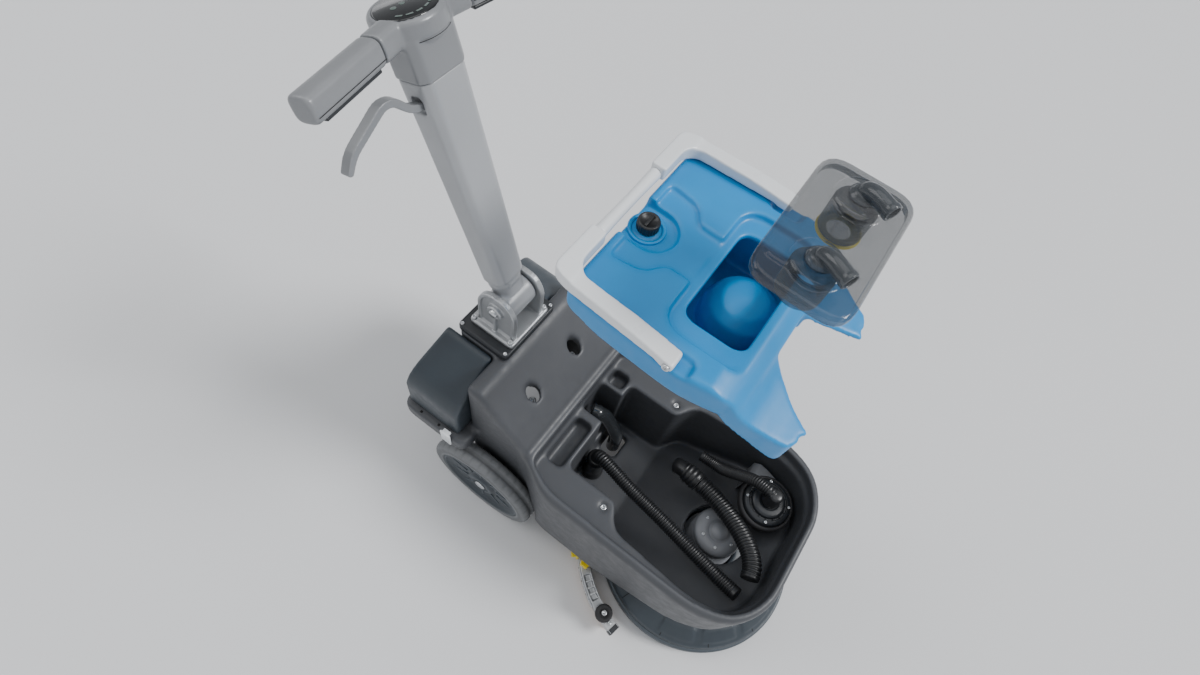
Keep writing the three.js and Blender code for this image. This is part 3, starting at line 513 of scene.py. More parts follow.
def screw_mesh(name, at, radius, height, axis="Z", socket=True):
    """A domed screw head, with a six-sided socket unless told otherwise, its back at the given point."""
    hollow = radius * 0.5

    def six(r, h, angle):
        if r > hollow * 1.01 or r == 0:
            return r
        wedge = (angle % (math.pi / 3)) - math.pi / 6
        return r * math.cos(math.pi / 6) / math.cos(wedge)
    profile = [(0, 0), (radius, 0), (radius, height * 0.55), (radius * 0.93, height * 0.82),
               (radius * 0.75, height)]
    if socket:
        profile += [(hollow, height), (hollow, height * 0.35), (0, height * 0.35)]
    else:
        profile += [(0, height * 1.04)]
    return turned(name, profile, at, axis, 36, six if socket else None)


# ---------------------------------------------------------------- tank, handle and lid
# The height of the seated tank's top, how far the photograph lifts it, and the ribs round its filler cap.
TANK_TOP, TANK_LIFT = 356, 555
CAP_RIBS = 24


def add_tank():
    mesh = softened("tank_body", "tank_shell", 0.0021, 18)
    place("tank_body", mesh, "tank", "tank_blue", ["tank_shell"])
    add_filler_cap()


def add_filler_cap():
    low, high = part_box("filler_cap")
    centre = (low + high) / 2
    r, z0, z1 = (high.x - low.x) / 2, low.z, high.z

    def knurl(radius, height, angle):
        return radius - 0.0007 * (0.5 + 0.5 * math.cos(angle * CAP_RIBS)) if radius > r * 0.97 else radius

    profile = [(0, z0), (r * 0.98, z0), (r, z0 + 0.001), (r, z1 - 0.0035), (r * 0.96, z1 - 0.0012),
               (r * 0.88, z1), (r * 0.74, z1), (r * 0.68, z1 - 0.002), (0, z1 - 0.0025)]
    cap = turned("filler_cap_skin", profile, (centre.x, centre.y, 0), steps=208, wave=knurl)
    bar = rounded_block("bar", (centre.x - r * 0.66, centre.y - 0.0018, z1 - 0.0035),
                        (centre.x + r * 0.66, centre.y + 0.0018, z1), 0.0008)
    place("filler_cap_skin", joined("filler_cap_skin", cap, bar), "filler_cap", "hose_black", ["filler_cap"])
    section = ((0.004, 0), (0.009, 0), (0.009, 0.0012), (0.0078, 0.0022), (0.0055, 0.0022), (0.004, 0.0012),
               (0.004, 0))
    ring = [(a + r, h) for a, h in section]
    seat = turned("filler_seat_ring", ring, (centre.x, centre.y, spot(0, 0, TANK_TOP + TANK_LIFT).z + 0.0002))
    place("filler_seat_ring", seat, "tank", "tank_blue")


def add_handle():
    for name, _ in SIDES:
        skin(f"handle_arm_{name}", "tank_handle", "white_plastic", 0.0012, 24)
    low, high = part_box("handle_grip")
    y, z, half, r = (low.y + high.y) / 2, (low.z + high.z) / 2, high.x, (high.z - low.z) / 2
    profile = [(0, -half), (r * 0.9, -half), (r, -half + 0.002)]
    steps, waist, end = 12, 0.0008, 0.004
    for i in range(steps + 1):
        narrowing = waist * (1 - abs(2 * i / steps - 1) ** 2)
        profile.append((r - narrowing, -half + end + (2 * half - 2 * end) * i / steps))
    profile += [(r, half - 0.002), (r * 0.9, half), (0, half)]
    grip = turned("handle_grip_skin", profile, (0, y, z), "X", 64)
    place("handle_grip_skin", grip, "tank_handle", "white_plastic", ["handle_grip"])
    pivot = Vector(joint("tank_handle_swing")["pos_m"])
    for name, side in SIDES:
        outer = abs(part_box("handle_arm_left")[1].x)
        at = (side * (outer - 0.0004), pivot.y, pivot.z)
        axis = "X" if side > 0 else "-X"
        screw = screw_mesh("pivot", at, 0.0048, 0.0026, axis)
        place(f"handle_pivot_screw_{name}", screw, "tank_handle", "steel")


def add_lid():
    skin("lid_cover", "lid", "smoky_clear", 0.0011, 6)
    for name, _ in SIDES:
        add_filter_cup(f"filter_cup_{name}")
        add_lid_elbow(name)
    low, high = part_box("cup_gasket_left")
    x, y = (low.x + high.x) / 2, (low.y + high.y) / 2
    z0, z1 = low.z, high.z
    mid = (z0 + z1) / 2
    profile = [(0.013, z0 + 0.0008), (0.014, z0), (0.0226, z0), (0.0238, z0 + 0.0008), (0.0238, mid),
               (0.0230, z1), (0.014, z1), (0.013, z1 - 0.0008), (0.013, z0 + 0.0008)]
    gasket = turned("gasket", profile, (x, y, 0), steps=72)
    place("cup_gasket_skin", gasket, "lid", "yellow_plastic", ["cup_gasket_left"])


def add_filter_cup(node):
    low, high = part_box(node)
    x, y = (low.x + high.x) / 2, (low.y + high.y) / 2
    outer, inner, z0, z1 = 0.0229, 0.0182, low.z, high.z
    grooves, pitch, depth = 6, 0.005, 0.0007
    profile = [(inner, z0), (outer - 0.001, z0), (outer, z0 + 0.001)]
    for i in range(grooves):
        h = z0 + 0.004 + i * pitch
        profile += [(outer, h), (outer - depth, h + 0.0008), (outer - depth, h + 0.0018), (outer, h + 0.0026)]
    profile += [(outer, z1), (inner, z1), (inner, z0)]
    place(node + "_skin", turned(node, profile, (x, y, 0), steps=80), "lid", "smoky_clear", [node])


def add_lid_elbow(name):
    node = f"lid_elbow_{name}"
    hub = Vector(joint(f"elbow_{name}_swivel")["pos_m"])
    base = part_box(node)[0].z
    run = [(0, 0, 2), (-0.5, -1, 8), (-4, -8, 12), (-9, -18, 13), (-15, -30, 13)]
    points = [Vector((hub.x + x * MM, hub.y + y * MM, base + z * MM)) for x, y, z in run]

    def flare(along, length):
        lip = max(0.0, 1 - abs(length - 0.003 - along) / 0.003)
        return 0.0088 + 0.0007 * min(1.0, 3 * lip)

    bend = tube("bend", points, flare, 40, 0.0012, bore=0.78)
    foot = [(0, 0.0002), (0.0138, 0.0002), (0.0138, 0.0026), (0.0125, 0.0034), (0.0112, 0.0058),
            (0.0098, 0.0075), (0, 0.0078)]
    ring = turned("foot", foot, (hub.x, hub.y, base), steps=72)
    mesh = joined(node, bend, ring)
    place(node + "_skin", mesh, f"elbow_{name}", "smoky_clear", [node], LOOKS["smoky_dark"])


# ---------------------------------------------------------------- chassis and what it holds
def add_chassis():
    mesh = softened("chassis_shell", "chassis_tub", 0.0042, 5)
    place("chassis_shell", mesh, "chassis", "chassis_plastic", ["chassis_tub"])
    skin("motor_cradle", "chassis", "light_grey_plastic", 0.0018, 5)
    skin("centre_plate", "chassis", "dark_plastic", 0.0016, 5)
    top = Vector((0, 0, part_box("centre_plate")[1].z - 0.0003))
    screws = [screw_mesh("plate_screw", spot(x, y, 0) + top, 0.0035, 0.0022)
              for x in (-64, 64) for y in (245, 341)]
    place("centre_plate_screws", joined("centre_plate_screws", *screws), "chassis", "steel")
    pockets = [screw_mesh("pocket", spot(side * 62, 182, 368), 0.0075, 0.0045) for _, side in SIDES]
    place("rear_pocket_bolts", joined("rear_pocket_bolts", *pockets), "chassis", "steel")
    for name, side in SIDES:
        node = f"ledge_screw_{name}"
        low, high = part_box(node)
        centre = (low + high) / 2
        head = screw_mesh(node, (centre.x, centre.y, low.z), 0.006, high.z - low.z)
        place(node + "_skin", head, "chassis", "steel", [node])
        ring = [(0.0062, 0), (0.0086, 0), (0.0086, 0.001), (0.0062, 0.001), (0.0062, 0)]
        washer = turned("washer", ring, (centre.x, centre.y, low.z - 0.0002))
        place(f"ledge_washer_{name}", washer, "chassis", "black_rubber")
    lens = softened("light_strip", "front_light_strip", 0.0009, 4)
    place("light_strip_skin", lens, "chassis", "light_lens", ["front_light_strip"])


def add_batteries():
    latch = crisp("latch", "battery_latch_right", 0.0008)
    place("battery_latch_skin", latch, "battery_latch", "white_plastic", ["battery_latch_right"])
    for name, side in SIDES:
        skin(f"battery_box_{name}", f"battery_{name}", "slate_plastic", 0.0022, 16)
        # Near-black squares on the tray: painted shade standing in for the dark insides of its holes.
        slots = []
        for y in (306, 350):
            square = rounded_block("slot", mm(-2.5, -2.5, -0.2), mm(2.5, 2.5, 0.3), 0.0002, 1)
            slots.append(moved(square, spot(side * 188.5, y, 300)))
        place(f"tray_square_{name}", joined("squares", *slots), "chassis", "dark_plastic", look=DARK_GAP)


def add_vac_motor():
    low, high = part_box("vac_motor")
    x, y, z0, r = (low.x + high.x) / 2, (low.y + high.y) / 2, low.z, (high.x - low.x) / 2
    steps = [(0, 0), (1, 0), (1, 22), (0.97, 26), (0.985, 30), (0.94, 35), (0.8, 38), (0.79, 35), (0.7, 35),
             (0.69, 42), (0.6, 45), (0.42, 46.5), (0.4, 44.5), (0, 44.5)]
    profile = smooth_profile([(r * a, z0 + h * MM) for a, h in steps], 3)
    body = turned("vac_motor", profile, (x, y, 0), steps=128)
    count, fins = 16, []
    for i in range(count):
        low, high = (r * 0.71, -0.0009, z0 + 0.034), (r * 0.79, 0.0009, z0 + 0.0385)
        fin = rounded_block("fin", low, high, 0.0005, 2)
        fins.append(moved(fin, (x, y, 0), Matrix.Rotation(2 * math.pi * i / count, 3, "Z")))
    place("vac_motor_skin", joined("vac_motor_skin", body, *fins), "chassis", "dark_plastic", ["vac_motor"])
    low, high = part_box("vac_motor_seal")
    inner, outer, z0, z1 = r + 0.0004, (high.x - low.x) / 2, low.z, high.z
    ring = [(inner, z0), (outer, z0), (outer, z0 + 0.004), (outer - 0.0015, z0 + 0.006), (outer, z0 + 0.008),
            (outer, z1 - 0.004), (outer - 0.003, z1), (inner, z1), (inner, z0)]
    seal = turned("seal", ring, (x, y, 0), steps=128)
    place("vac_seal_skin", seal, "chassis", "black_rubber", ["vac_motor_seal"])
    for i in range(4):
        angle = math.radians(20 + 90 * i)
        at = (x + math.cos(angle) * r * 0.87, y + math.sin(angle) * r * 0.87, z1 + 0.0085)
        place(f"vac_motor_screw_{i + 1}", screw_mesh("screw", at, 0.003, 0.002), "chassis", "steel")


def add_brush_motor():
    low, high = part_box("brush_motor")
    y, r = (low.y + high.y) / 2, (high.y - low.y) / 2
    steps = [(0, low.z), (r, low.z), (r, 0.148), (r - 0.006, 0.156)]
    for i in range(6):
        h = 0.162 + i * 0.008
        steps += [(r - 0.006, h), (r - 0.006, h + 0.004), (r - 0.009, h + 0.005), (r - 0.009, h + 0.007)]
    steps += [(r - 0.006, 0.212), (r - 0.010, 0.219), (r - 0.018, 0.224), (0.024, 0.2255), (0.022, 0.2235),
              (0.018, 0.2235), (0.016, high.z), (0, high.z)]
    housing = turned("brush_motor", steps, (0, y, 0), steps=128)
    place("brush_motor_skin", housing, "chassis", "light_grey_plastic", ["brush_motor"])
    for i in range(6):
        angle = math.radians(15 + 60 * i)
        at = (math.cos(angle) * 0.034, y + math.sin(angle) * 0.034, 0.2238)
        place(f"brush_motor_screw_{i + 1}", screw_mesh("screw", at, 0.0032, 0.0024), "chassis", "steel")


# The hoses' middle lines, in the design's millimetres, as the CAD pieces have them.
HOSE_COLLAR = (-24, 34)
LONG_HOSE = [(-24, 34, 210), (-25, 28, 230), (-31, 4, 239), (-44, -60, 238), (-56, -140, 238),
             (-72, -220, 244), (-89, -290, 262), (-98, -326, 278)]
LOOP_HOSE = [(51.2, -168, 240.6), (47, -190, 244), (34, -226, 254), (10, -270, 272), (-18, -304, 288),
             (-44, -322, 297), (-66, -328, 298)]
MOTOR_HOSE = [(112, -140, 224), (111, -166, 228), (107, -192, 242), (100, -220, 282), (93, -246, 318),
              (87, -274, 331), (84.5, -287, 330)]
SUCTION_ELBOW = [(28, 94, 282), (33, 80, 278), (44, 66, 254), (53, 50, 210), (57, 34, 165), (57, 32, 105)]
CUFF = [(58, -130, 236), (55.5, -148, 239), (51.6, -165.4, 240.5)]
CUFF_NECK = [(62, -110, 224), (60.5, -119, 231), (57, -136, 238)]


def add_hoses():
    route = [spot(*p) for p in LONG_HOSE]
    hose = tube("long_hose", route, corrugated(0.0142, 0.0026, 0.0052, 0.006), 32, 0.00085)
    x, y = HOSE_COLLAR
    floor = 0.1253
    profile = [(0, floor), (0.023, floor), (0.023, 0.131), (0.0195, 0.137), (0.019, 0.150), (0.019, 0.196),
               (0.0205, 0.198), (0.0205, 0.204), (0.019, 0.206), (0.0185, 0.212), (0.0155, 0.214), (0, 0.214)]
    collar = turned("collar", profile, spot(x, y, 0), steps=64)
    place("long_hose_skin", joined("long_hose", hose, collar), "chassis", "hose_black", ["long_hose"])
    route = [spot(*p) for p in LOOP_HOSE]
    hose = tube("loop_hose", route, corrugated(0.0182, 0.0032, 0.0064, 0.004), 36, 0.001)
    place("loop_hose_skin", hose, "chassis", "hose_black", ["loop_hose"])

    def ribbed(along, length):
        end_step = 0.0018 * (abs(along / length - 0.5) > 0.38)
        return 0.0208 - end_step + 0.0009 * math.cos(2 * math.pi * along / 0.009)

    sleeve = tube("sleeve", [spot(*p) for p in CUFF], ribbed, 48, 0.0009)
    neck = tube("neck", [spot(*p) for p in CUFF_NECK], 0.0168, 40, 0.002)
    place("hose_cuff_skin", joined("hose_cuff", sleeve, neck), "chassis", "hose_black", ["hose_cuff"])
    route = [spot(*p) for p in MOTOR_HOSE]
    hose = tube("motor_hose", route, corrugated(0.0122, 0.0022, 0.0046, 0.004), 32, 0.0008)
    low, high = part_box("vac_motor")
    boot = [(0, 0.305), (0.017, 0.305), (0.017, 0.311), (0.0145, 0.315), (0.014, 0.336), (0.012, 0.339),
            (0.009, 0.341), (0, 0.341)]
    collar = turned("boot", boot, ((low.x + high.x) / 2, (low.y + high.y) / 2, 0), steps=56)
    place("motor_hose_skin", joined("motor_hose", hose, collar), "chassis", "hose_black", ["motor_hose"])
    route = [spot(*p) for p in SUCTION_ELBOW]

    def bead(along, length):
        return 0.0150 + 0.0012 * max(0.0, 1 - abs(along - 0.012) / 0.004)

    elbow = tube("suction_elbow", route, bead, 40, 0.002)
    place("suction_elbow_skin", elbow, "chassis", "hose_black", ["suction_elbow"], LOOKS["glossy_black"])


# ---------------------------------------------------------------- wheels
TREAD_BLOCKS = 36
WHEEL_RIBS = 10


def add_wheels():
    for name, side in SIDES:
        low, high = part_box(f"tyre_{name}")
        hub_low, hub_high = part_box(f"wheel_hub_{name}")
        centre = (low + high) / 2
        half, rim = (high.x - low.x) / 2, (hub_high.z - hub_low.z) / 2
        add_tyre(name, centre, (high.z - low.z) / 2, half, rim)
        add_hub(name, side, centre, half, rim)


def add_tyre(name, centre, r, half, rim):
    def tread(radius, h, angle):
        if radius < r - 0.004 or abs(h) < 0.004:
            return radius
        return radius - 0.0016 * (math.cos(angle * TREAD_BLOCKS + (h > 0) * math.pi) > 0.55)

    profile = [(rim + 0.0003, -half), (rim + 0.006, -half), (rim + 0.0075, -half + 0.0014),
               (r - 0.012, -half + 0.0010), (r - 0.006, -half + 0.001), (r - 0.0022, -half + 0.005),
               (r - 0.0006, -half + 0.010), (r - 0.0001, -0.0045)]
    profile += [(r - 0.0022, -0.0035), (r - 0.0022, 0.0035)]
    profile += [(a, -h) for a, h in reversed(profile[:-2])]
    profile.append(profile[0])
    tyre = turned("tyre", profile, centre, "X", 216, tread)
    place(f"tyre_{name}_skin", tyre, f"wheel_{name}", "wheel_rubber", [f"tyre_{name}"])


def add_hub(name, side, centre, out, rim):
    rows = [(0.0095, -out + 0.004), (rim, -out + 0.004), (rim, out - 0.0012), (0.0945, out - 0.0008),
            (0.0925, out - 0.003), (0.088, out - 0.0058), (0.083, out - 0.0066), (0.082, out - 0.0074),
            (0.060, out - 0.0088), (0.059, out - 0.0080), (0.040, out - 0.0092), (0.034, out - 0.0096),
            (0.031, out - 0.0055), (0.0285, out - 0.0034), (0.022, out - 0.0028), (0.021, out - 0.0040),
            (0.0095, out - 0.0040), (0.0095, -out + 0.004)]
    axis = "X" if side > 0 else "-X"
    hub = turned("hub", rows, centre, axis, 144)
    ribs = []
    for i in range(WHEEL_RIBS):
        rib = rounded_block("rib", (0.041, -0.0028, out - 0.0096), (0.0815, 0.0028, out - 0.0068), 0.0012, 3)
        about_axle = Matrix.Rotation(2 * math.pi * i / WHEEL_RIBS, 3, "Z")
        ribs.append(moved(rib, centre, Matrix.Rotation(side * math.pi / 2, 3, "Y") @ about_axle))
    mesh = joined("hub", hub, *ribs)
    place(f"wheel_hub_{name}_skin", mesh, f"wheel_{name}", "slate_plastic", [f"wheel_hub_{name}"])
    at = (centre.x + side * (out - 0.0045), centre.y, centre.z)
    cap = screw_mesh("cap", at, 0.0125, 0.0045, axis, socket=False)
    place(f"wheel_cap_{name}", cap, f"wheel_{name}", "steel")


# ---------------------------------------------------------------- deck, brush and squeegee
DECK_SEAMS = 12


def add_deck():
    skin("deck_cover", "chassis", "slate_plastic", 0.0026, 7)
    low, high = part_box("deck_skirt")
    y, r, z0, z1 = (low.y + high.y) / 2, (high.x - low.x) / 2, low.z, high.z
    profile = [(r - 0.009, z0), (r - 0.0025, z0), (r - 0.0008, z0 + 0.001), (r, z0 + 0.003), (r, z0 + 0.006),
               (r - 0.001, z0 + 0.007), (r, z0 + 0.008), (r, z1 - 0.006), (r - 0.0012, z1 - 0.002),
               (r - 0.004, z1), (r - 0.009, z1), (r - 0.009, z0)]
    skirt = turned("skirt", profile, (0, y, 0), steps=216)
    place("deck_skirt_skin", skirt, "chassis", "dark_plastic", ["deck_skirt"], LOOKS["slate_rim"])
    seams = []
    for r0, z0, r1, z1 in ((122, 92.0, 176, 74.0), (176, 74.0, 203, 54.7)):
        slope = math.atan2(z0 - z1, r1 - r0)
        length = math.hypot(r1 - r0, z1 - z0)
        for i in range(DECK_SEAMS):
            strip = rounded_block("seam", mm(0, -0.6, -0.6), mm(length, 0.6, 0.7), 0.0001, 1)
            strip.transform(Matrix.Rotation(slope, 4, "Y"))
            strip.transform(Matrix.Translation(mm(r0, 0, z0)))
            turn = Matrix.Rotation(math.radians(8 + 360 / DECK_SEAMS * i), 3, "Z")
            seams.append(moved(strip, (0, y, 0), turn))
    place("deck_seams", joined("deck_seams", *seams), "chassis", "slate_plastic", look=DARK_GAP)


# The rings of bristle tufts, in metres: the first one's radius, the step to the next and the step round one.
FIRST_RING, RING_STEP, TUFT_STEP, RINGS = 0.070, 0.0093, 0.0098, 13
TUFT_TOP_R, TUFT_TIP_R, TUFT_SIDES = 0.0026, 0.0040, 7
TUFT_LEAN, GOLDEN_ANGLE = 0.0022, 2.399


def add_brush():
    low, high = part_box("brush_disc")
    r, z0, z1 = (high.x - low.x) / 2, low.z, high.z
    skirt_low, skirt_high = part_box("deck_skirt")
    y = (skirt_low.y + skirt_high.y) / 2
    profile = smooth_profile([(0, z0), (r, z0), (r, z0 + 0.006), (r - 0.008, z0 + 0.010), (0.016, z0 + 0.010),
                              (0.012, z1), (0, z1)], 3)
    disc = turned("brush_disc", profile, (0, y, 0), steps=144)
    place("brush_disc_skin", disc, "brush", "slate_plastic", ["brush_disc"])
    top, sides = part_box("brush_bristles")[1].z, TUFT_SIDES
    vertices, faces = [], []
    for row in range(RINGS):
        ring = FIRST_RING + row * RING_STEP
        count = round(2 * math.pi * ring / TUFT_STEP)
        for i in range(count):
            angle = 2 * math.pi * (i + 0.5 * (row % 2)) / count
            lean = TUFT_LEAN * math.sin(i * GOLDEN_ANGLE + row)
            base = len(vertices)
            for z, r, shift in ((top, TUFT_TOP_R, 0), (0.0, TUFT_TIP_R, 1)):
                cx = math.cos(angle) * (ring + shift * lean)
                cy = y + math.sin(angle) * (ring + shift * lean)
                for k in range(sides):
                    t = 2 * math.pi * k / sides + angle
                    vertices.append(Vector((cx + math.cos(t) * r, cy + math.sin(t) * r, z)))
            for k in range(sides):
                m = (k + 1) % sides
                faces.append((base + k, base + sides + k, base + sides + m, base + m))
            faces.append(tuple(base + k for k in range(sides)))
            faces.append(tuple(base + sides + k for k in reversed(range(sides))))
    tufts = outward(mesh_of("tufts", vertices, faces))
    place("bristle_tufts", tufts, "brush", "brush_fibre", ["brush_bristles"])


# The squeegee's arc about the brush's centre: its radius in millimetres, and half its sweep in degrees.
ARC_R, ARC_HALF = 255, 78
# Where the bar's ribs are on each side, in degrees. They leave room for the carrier's pins at 15 degrees.
BAR_RIBS = (3, 9, 21, 27, 33, 53, 56, 59)
LATCH_AT = 40


def add_squeegee():
    r, end = ARC_R, ARC_HALF
    bar = softened("bar", "squeegee_bar", 0.0012, 3)
    section = [(r - 8, 53), (r + 8, 53), (r + 8, 59), (r - 8, 59)]
    ribs = [arc_sweep("rib", section, a - 0.4, a + 0.4, 2)
            for a in sorted(side * rib for _, side in SIDES for rib in BAR_RIBS)]
    mesh = joined("squeegee_bar", bar, *ribs)
    place("squeegee_bar_skin", mesh, "squeegee", "cast_aluminium", ["squeegee_bar"])
    strip = [(r - 2, 1), (r + 2, 1), (r + 2, 33.7), (r - 2, 33.7)]
    blade = arc_sweep("blade", strip, 2 - end, end - 2, 180)
    place("squeegee_blade_skin", blade, "squeegee", "squeegee_rubber", ["squeegee_blade"])
    band = [(r + 11.3, 38), (r + 13, 38), (r + 13, 56), (r + 11.3, 56)]
    strips = [arc_sweep("band", band, side * a, side * b, 16)
              for _, side in SIDES for a, b in ((30, 37.4), (42.6, 64))]
    place("squeegee_bands", joined("bands", *strips), "squeegee", "steel")
    # Near-black squares on the bands: painted shade standing in for the dark insides of their holes.
    holes = []
    for _, side in SIDES:
        for a in (33, 46, 52, 58):
            hole = rounded_block("hole", mm(-2.2, -2.2, -0.3), mm(2.2, 2.2, 0.3), 0.0002, 1)
            turn = Matrix.Rotation(math.radians(side * a), 3, "Z") @ Matrix.Rotation(math.pi / 2, 3, "X")
            holes.append(moved(hole, on_arc(r + 13, side * a, 47), turn))
    place("squeegee_band_holes", joined("holes", *holes), "squeegee", "dark_plastic", look=DARK_GAP)
    block = [(r - 12, 33.8), (r + 12, 33.8), (r + 12, 57), (r + 9, 61), (r - 9, 61), (r - 12, 57)]
    caps = [arc_sweep("end_cap", block, side * 76, side * (end + 0.3), 6) for _, side in SIDES]
    place("squeegee_end_caps", joined("end_caps", *caps), "squeegee", "dark_plastic")
    for i, (angle, height) in enumerate(((-74, 59.8), (-30, 53.8), (30, 53.8), (74, 59.8))):
        bolt = screw_mesh("bolt", on_arc(r, angle, height), 0.0042, 0.003)
        place(f"squeegee_bolt_{i + 1}", bolt, "squeegee", "steel")
    for name, side in SIDES:
        add_squeegee_knob(name)
        add_squeegee_latch(name, side)
        add_bumper(name)
    skin("squeegee_carrier", "squeegee_carrier", "cast_aluminium", 0.0013, 4)


def add_squeegee_knob(name):
    node = f"squeegee_knob_{name}"
    low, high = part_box(node)
    pos = joint(f"squeegee_knob_{name}_turn")["pos_m"]

    def lobes(radius, h, angle):
        return radius * (1 + 0.13 * math.cos(angle * 5)) if radius > 0.006 else radius

    profile = smooth_profile([(0, low.z), (0.0095, low.z), (0.0105, low.z + 0.003), (0.011, high.z - 0.003),
                              (0.0095, high.z - 0.0006), (0.0045, high.z - 0.001), (0, high.z - 0.0018)], 3)
    knob = turned("knob", profile, (pos[0], pos[1], 0), steps=100, wave=lobes)
    place(node + "_skin", knob, f"knob_{name}", "yellow_plastic", [node])


def add_squeegee_latch(name, side):
    node, at = f"squeegee_latch_{name}", -side * LATCH_AT
    upright = [(266.3, 38), (271.3, 38), (271.3, 66), (268.3, 74), (266.3, 74)]
    tab = [(268.3, 68.5), (283.5, 70), (284.3, 72), (283.5, 73.9), (268.3, 73.9)]
    plate = arc_sweep("latch", upright, at - 2, at + 2, 8)
    lever = arc_sweep("tab", tab, at - 1.9, at + 1.9, 8)
    place(node + "_skin", joined("latch", plate, lever), f"blade_latch_{name}", "yellow_plastic", [node])


def add_bumper(name):
    node = f"bumper_wheel_{name}"
    low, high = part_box(node)
    centre = (low + high) / 2
    z0, r = low.z, (high.x - low.x) / 2
    profile = [(0, z0), (r - 0.002, z0), (r - 0.0004, z0 + 0.002), (r, z0 + 0.0035), (r, z0 + 0.008),
               (r - 0.0008, z0 + 0.009), (r, z0 + 0.010), (r, z0 + 0.0145), (r - 0.0006, z0 + 0.0165),
               (r - 0.003, z0 + 0.018), (0.0105, z0 + 0.018), (0.0095, z0 + 0.0165), (0, z0 + 0.0165)]
    roller = turned("roller", profile, (centre.x, centre.y, 0), steps=72)
    place(node + "_skin", roller, f"bumper_{name}", "black_rubber", [node])
    bolt = screw_mesh("roller_bolt", (centre.x, centre.y, z0 + 0.0163), 0.0058, 0.0045)
    place(f"bumper_bolt_{name}", bolt, f"bumper_{name}", "steel")


# ---------------------------------------------------------------- mast, head and controls
# In the mast's own upright frame: the grips' root and height, in millimetres, and their sweep in degrees.
GRIP_Y, GRIP_S, GRIP_SWEEP = 4, 464, 12
# There too: the display's centre, in metres, and the height of its rim, in millimetres.
DISPLAY_Y, DISPLAY_TOP = 0.008, 478


def add_mast():
    for name, voxel, passes in (("mast_tube", 0.0017, 16), ("head_housing", 0.0014, 16),
                                ("grip_right", 0.0015, 12), ("grip_left", 0.0015, 12)):
        # The tube keeps the plain paint; the head and grips take the darker grey, which is partly painted shade.
        look = LOOKS["mast_paint" if name == "mast_tube" else "head_paint_and_shade"]
        skin(name, "mast", "mast_paint", voxel, passes, look)
    for name, side in SIDES:
        turn = MAST_LEAN @ Matrix.Rotation(-side * math.radians(GRIP_SWEEP), 3, "Z")
        strips = []
        for face in (-1, 1):
            y = face * 16.02
            strips.append(rounded_block("strip", mm(side * 74, y - 0.2, -7.3), mm(side * 187, y + 0.2, -6.5),
                                        0.0001, 1))
        seam = moved(joined("seam", *strips), on_mast(0, GRIP_Y, GRIP_S), turn)
        place(f"grip_seam_{name}", seam, "mast", "dark_plastic", look=DARK_GAP)
    # The lever takes the same darker grey, which is partly painted shade.
    skin("release_lever", "release_lever", "mast_paint", 0.0009, 9, LOOKS["head_paint_and_shade"])
    for name, _ in SIDES:
        skin(f"trigger_{name}", f"trigger_{name}", "dark_plastic", 0.0009, 5)
    skin("mast_bracket", "chassis", "cast_aluminium", 0.0011, 5)
    low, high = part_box("hinge_pin")
    half, r = high.x, (high.z - low.z) / 2
    profile = [(0, -half), (r * 0.8, -half), (r, -half + 0.0015), (r, half - 0.0015), (r * 0.8, half),
               (0, half)]
    pin = turned("hinge_pin", profile, PIVOT, "X", 48)
    place("hinge_pin_skin", pin, "chassis", "steel", ["hinge_pin"])
    for i in range(1, 5):
        node = f"bracket_screw_{i}"
        low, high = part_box(node)
        centre = (low + high) / 2
        head = screw_mesh(node, (centre.x, centre.y, low.z), (high.x - low.x) / 2, high.z - low.z)
        place(node + "_skin", head, "chassis", "steel", [node])
    add_display()


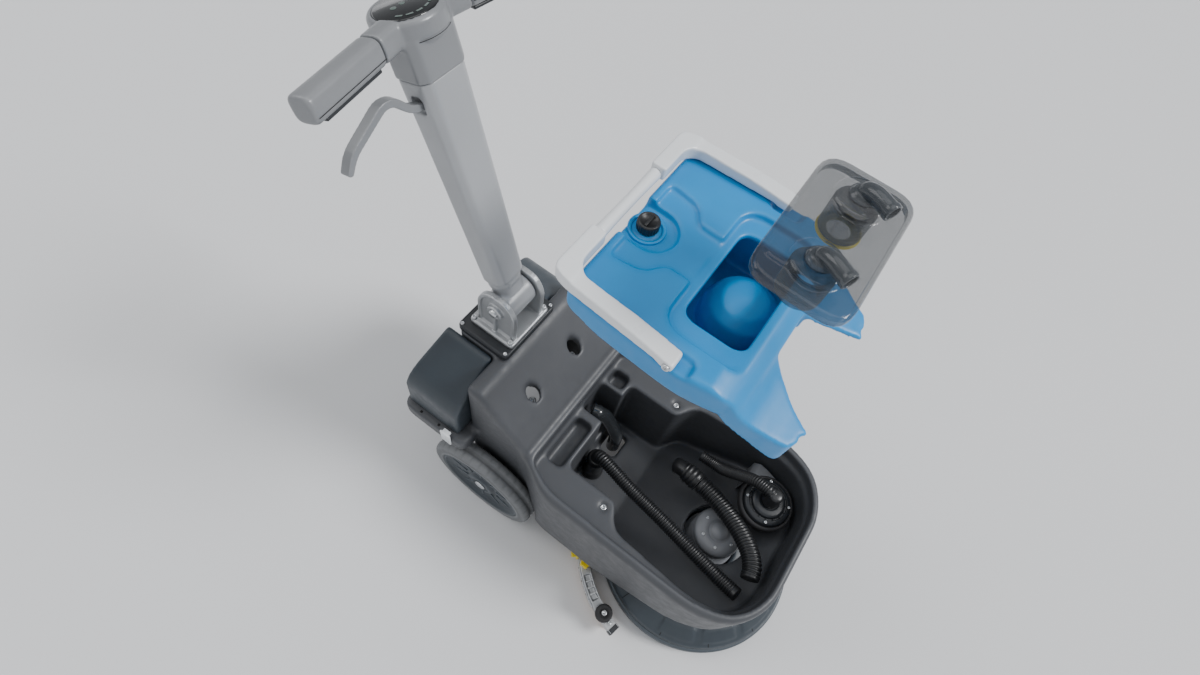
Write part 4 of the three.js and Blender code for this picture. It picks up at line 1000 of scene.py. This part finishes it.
def add_display():
    """The display's glass, its plain marks and the seam round the head, made upright and then leant."""
    top = DISPLAY_TOP
    glass = [(0, top - 3.6), (38.3, top - 3.6), (38.3, top - 1.2), (36.5, top), (0, top + 0.8)]
    mesh = turned("glass", [mm(*p) for p in glass], (0, DISPLAY_Y, 0))
    place("display_glass", moved(mesh, PIVOT, MAST_LEAN), "mast", "display_glass", ["display_lens"])
    marks = []
    for i in range(5):
        block = rounded_block("mark", (0.0275, -0.0042, 0), (0.0305, 0.0042, 0.0004), 0.00015, 1)
        arc = Matrix.Rotation(math.radians(215 + i * 24), 3, "Z")
        marks.append(moved(block, (0, DISPLAY_Y, (top + 0.35) * MM), arc))
    for x in (-13, 0, 13):
        dot = turned("dot", [(0, 0), (0.0036, 0), (0.0036, 0.0003), (0.0028, 0.0005), (0, 0.0005)], steps=40)
        marks.append(moved(dot, (x * MM, DISPLAY_Y + 0.004, (top + 0.6) * MM)))
    mesh = moved(joined("marks", *marks), PIVOT, MAST_LEAN)
    place("display_marks", mesh, "mast", "light_lens", look=LOOKS["display_mark"])
    ring = [(46.05, 454), (46.25, 453.6), (46.05, 453.2), (45.6, 453.6), (46.05, 454)]
    seam = turned("seam", [mm(*p) for p in ring], (0, DISPLAY_Y, 0))
    place("head_seam", moved(seam, PIVOT, MAST_LEAN), "mast", "dark_plastic", look=DARK_GAP)


def paint_cad_nodes():
    """Every CAD node that still shows takes its slot's look."""
    for row in frame["record"]["subparts"]:
        node = frame["nodes"][row["node"]]
        node.data.materials.clear()
        node.data.materials.append(LOOKS[row["material_slot"]])


# ---------------------------------------------------------------- the room
# Each lamp's name, the place it shines from, its angle across in radians and its strength.
LAMPS = (("key", (0.9, -2.2, 2.7), 0.35, 2.8), ("fill", (-2.6, -0.6, 1.8), 1.2, 0.35),
         ("back", (-0.7, 2.4, 2.4), 0.6, 0.7), ("top", (0.2, 0.3, 4.2), 1.0, 0.9))


def add_room():
    half = 14
    corners = [(-half, -half, 0), (half, -half, 0), (half, half, 0), (-half, half, 0)]
    mesh = mesh_of("floor", corners, [(0, 1, 2, 3)], smooth=False)
    floor = bpy.data.objects.new("floor", mesh)
    bpy.context.scene.collection.objects.link(floor)
    g = Graph("floor")
    tone = linear((214, 215, 217))
    g.link(g.mix(g.spread(g.noise(0.6, 2), 0, 1), scaled(tone, 0.985), tone), g.shader.inputs["Base Color"])
    g.shader.inputs["Roughness"].default_value = 0.75
    mesh.materials.append(g.material)
    world = bpy.data.worlds.new("world")
    bpy.context.scene.world = world
    world.use_nodes = True
    sky = world.node_tree.nodes["Background"]
    sky.inputs["Color"].default_value = (0.93, 0.96, 1.0, 1)
    sky.inputs["Strength"].default_value = 0.38
    for name, at, size, power in LAMPS:
        light = bpy.data.lights.new(name, "SUN")
        light.angle = size
        light.energy = power
        lamp = bpy.data.objects.new(name, light)
        bpy.context.scene.collection.objects.link(lamp)
        lamp.location = at
        ahead = Vector((0, 0, 0.5)) - Vector(at)
        lamp.rotation_euler = ahead.to_track_quat("-Z", "Y").to_euler()


add_camera()
add_room()
paint_cad_nodes()
add_tank()
add_handle()
add_lid()
add_chassis()
add_batteries()
add_vac_motor()
add_brush_motor()
add_hoses()
add_wheels()
add_deck()
add_brush()
add_squeegee()
add_mast()
